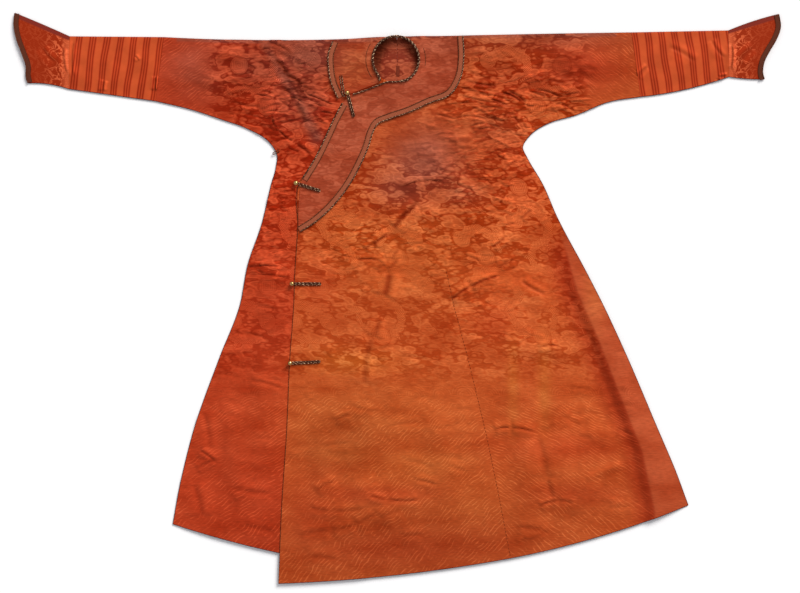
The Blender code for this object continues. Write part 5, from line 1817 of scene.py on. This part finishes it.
# %% Toggles, balls and loops
BUTTON_RADIUS = 6.5
LOBES = 8
LOBE_HEIGHT = 0.05  # this and the next two in shares of the ball's radius
BELT_HEIGHT = 0.04
BELT_WIDTH = 0.12
TAIL_RADIUS = 2.0
TAIL_SPREAD = 2.3
TAIL_START = 6.1
LOOP_RADIUS = 1.3
LOOP_SPREAD = 2.6
CLIMB_FROM = 535.0  # the loop at the collarbone climbs onto the overlap here
CLIMB_RUN = 20.0
Toggle = namedtuple("Toggle", "name ball_x ball_y far_x far_y carrier")
TOGGLES = table(Toggle, (
    ("collar", -126, 521, -110, 462, "facing"), ("chest", -257, 292, -196, 273, "facing"),
    ("waist", -267, 36, -194, 36, "overlap"), ("hip", -272, -166, -196, -162, "overlap"),
))


def hairpin(near, far, spread):
    """A doubled strand seen from above: out on one side, round the far end and back on the other."""
    near, far = Vector(near), Vector(far)
    ahead = (far - near).normalized()
    aside = Vector((-ahead.y, ahead.x))
    straight = (far - near).length - spread
    count = max(2, math.ceil(straight / 3))
    points = [near + ahead * straight * step / count + aside * spread for step in range(count + 1)]
    turn = near + ahead * straight
    for step in range(1, 10):
        angle = math.pi * step / 10
        points.append(turn + aside * spread * math.cos(angle) + ahead * spread * math.sin(angle))
    points += [near + ahead * straight * step / count - aside * spread for step in range(count, -1, -1)]
    return np.array([tuple(point) for point in points])


def ball_piece(name, x, y, z):
    """A cast ball button with eight shallow lobes and a raised belt."""
    made = bmesh.new()
    bmesh.ops.create_uvsphere(made, u_segments=40, v_segments=24, radius=1.0)
    for vert in made.verts:
        turn = math.atan2(vert.co.y, vert.co.x)
        lobe = LOBE_HEIGHT * abs(math.cos(LOBES / 2 * turn)) * (1 - abs(vert.co.z))
        belt = BELT_HEIGHT * math.exp(-((vert.co.z / BELT_WIDTH) ** 2))
        vert.co *= (1 - LOBE_HEIGHT + max(lobe, belt)) * BUTTON_RADIUS
        vert.co += Vector((x, y, z))
        vert.co *= MM
    for face in made.faces:
        face.smooth = True
    mesh = bpy.data.meshes.new(name)
    made.to_mesh(mesh)
    made.free()
    mesh.materials.append(BRASS)
    obj = bpy.data.objects.new(name, mesh)
    room.collection.objects.link(obj)
    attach(obj, "root")
    return obj


SEATS = {"facing": TRIM / 2 + REST_GAP, "overlap": SILK / 2 + REST_GAP}
CARRIERS = {"facing": facing_over_level, "overlap": top_level}
for toggle in TOGGLES:
    on, seat = CARRIERS[toggle.carrier], SEATS[toggle.carrier]
    button, far = (toggle.ball_x, toggle.ball_y), (toggle.far_x, toggle.far_y)
    near = between(button, far, TAIL_START / math.dist(button, far))
    tail = at_level(hairpin(near, far, TAIL_SPREAD), on, seat + TAIL_RADIUS)
    tail_cord = twisted(f"{toggle.name}_toggle_cord", [tail], TAIL_RADIUS, GILT_CORD)
    stands_for(tail_cord, f"toggle_{toggle.name}")
    rest = float(on(np.array([near[0]]), np.array([near[1]]))[0]) + seat + BUTTON_RADIUS
    stands_for(ball_piece(f"{toggle.name}_ball", *button, rest), f"button_{toggle.name}")
collar_loop = hairpin((-143, 566), (-135, 513), LOOP_SPREAD)
climb = OVERLAP_STEP * eased((CLIMB_FROM - collar_loop[:, 1]) / CLIMB_RUN)
collar_loop = at_level(collar_loop, facing_under_level, TRIM / 2 + REST_GAP + LOOP_RADIUS)
collar_loop[:, 2] += climb
underarm_loop = hairpin((-300, 376), (-316, 367), LOOP_SPREAD)
underarm_loop = at_level(underarm_loop, under_level, SILK / 2 + REST_GAP + LOOP_RADIUS)
for side, path, silk in (("collar", collar_loop, GILT_CORD), ("underarm", underarm_loop, BROWN_CORD)):
    stands_for(twisted(f"{side}_loop", [path], LOOP_RADIUS, silk), f"loop_{side}")
print("toggles:", len(TOGGLES))

# %% [markdown]
# ## Seams
# The centre front seam is sewn by hand with a dark thread whose stitches show as a dotted line. So is the
# centre back seam, which shows inside the neck and on the underside. A short tape covers its upper end.

# %% Stitches and the neck tape
SEAM_TOP = 70.0
SEAM_ASIDE = 1.6
BACK_SEAM_X = 1.5

seam_y = np.arange(-655.0, SEAM_TOP, 8.0)
seam_line = np.column_stack([seam_x(seam_y) + SEAM_ASIDE, seam_y])
seam_line = at_level(seam_line, top_level, SILK / 2 + STITCH_RADIUS)
stitched("centre_seam_stitches", [seam_line], 21)
nape_y = np.arange(596.0, 650.0, 6.0)
nape_line = at_level(stacked(BACK_SEAM_X, nape_y), back_level, SILK / 2)
back_line = [(BACK_SEAM_X, -672.0, STITCH_RADIUS), (BACK_SEAM_X, 640.0, STITCH_RADIUS)]
stitched("back_seam_stitches", [nape_line, back_line], 22)

TAPE_MIDDLE = 2.5
tape_x, tape_y = np.meshgrid(np.linspace(-1.5, 6.5, 6), np.linspace(566, 592, 12))
tape_place = stacked(tape_y, tape_x - TAPE_MIDDLE, 0.0)
tape_grid = stacked(tape_x, tape_y, SILK + SEAM_GAP + TRIM / 2)
# Plain brown tape, woven tight: dull and even, which is why it reads as a small dark bar.
TAPE_SILK = woven_braid("brown_neck_tape", "#6A2A1C", "#7C3424")
tape = cloth("nape_tape", tape_grid, TRIM, TAPE_SILK, {"cloth": tape_place})
stands_for(tape, "neck_tape")
print("stitches along", round(len(seam_y) * 8 / 1000, 2), "m of seam")

# %% [markdown]
# ## Floor and light
# The robe lies on white paper under a large soft lamp, high on the far side. The folds show because this
# lamp rakes over them, and a bright dome fills the shadows. White paper must stay white, so the picture is
# shown with the plain Standard view, without a film curve.

# %% Floor, lamp and dome
LAMP_TURN = 58.0  # from +X towards +Y, in degrees
LAMP_HEIGHT = 34.0
LAMP_SPREAD = 28.0
LAMP_STRENGTH = 3.5
DOME_STRENGTH = 0.52
FLOOR_HALF = 4.0
paper = bpy.data.meshes.new("paper")
corners = [(FLOOR_HALF * x, FLOOR_HALF * y, 0) for x, y in ((-1, -1), (1, -1), (1, 1), (-1, 1))]
paper.from_pydata(corners, [], [(0, 1, 2, 3)])
floor = bpy.data.objects.new("floor", paper)
floor.location.z = -0.5 * MM
room.collection.objects.link(floor)
# White backdrop paper: matt, just off white.
white, _, shader = new_material("white_backdrop_paper", "#F4F4F6", Roughness=0.9, Specular_IOR_Level=0.1)
shader.inputs["Base Color"].default_value = linear("#F6F6F8")
paper.materials.append(white)

lamp_data = bpy.data.lights.new("lamp", "SUN")
lamp_data.energy = LAMP_STRENGTH
lamp_data.angle = math.radians(LAMP_SPREAD)
lamp_data.color = linear("#FFFCF6")[:3]
lamp = bpy.data.objects.new("lamp", lamp_data)
turn, rise = math.radians(LAMP_TURN), math.radians(LAMP_HEIGHT)
aim = Vector((math.cos(turn) * math.cos(rise), math.sin(turn) * math.cos(rise), math.sin(rise)))
lamp.rotation_euler = aim.to_track_quat("Z", "Y").to_euler()
room.collection.objects.link(lamp)

world = bpy.data.worlds.new("dome")
world.use_nodes = True
sky = world.node_tree.nodes["Background"]
sky.inputs["Color"].default_value = linear("#FAFBFF")
sky.inputs["Strength"].default_value = DOME_STRENGTH
room.world = world
room.view_settings.view_transform = "Standard"
print("lamp at", LAMP_HEIGHT, "degrees")

# %% [markdown]
# ## What each cloth was cut from
# A pattern cutter would ask for the flat size of every piece. The areas of the main pieces come from
# their grids, which are laid without stretch.

areas = (left_area, right_area, overlap_area, left_band_area, left_cuff_area, over_area, under_area)
print("areas in m2:", [round(area, 4) for area in areas])
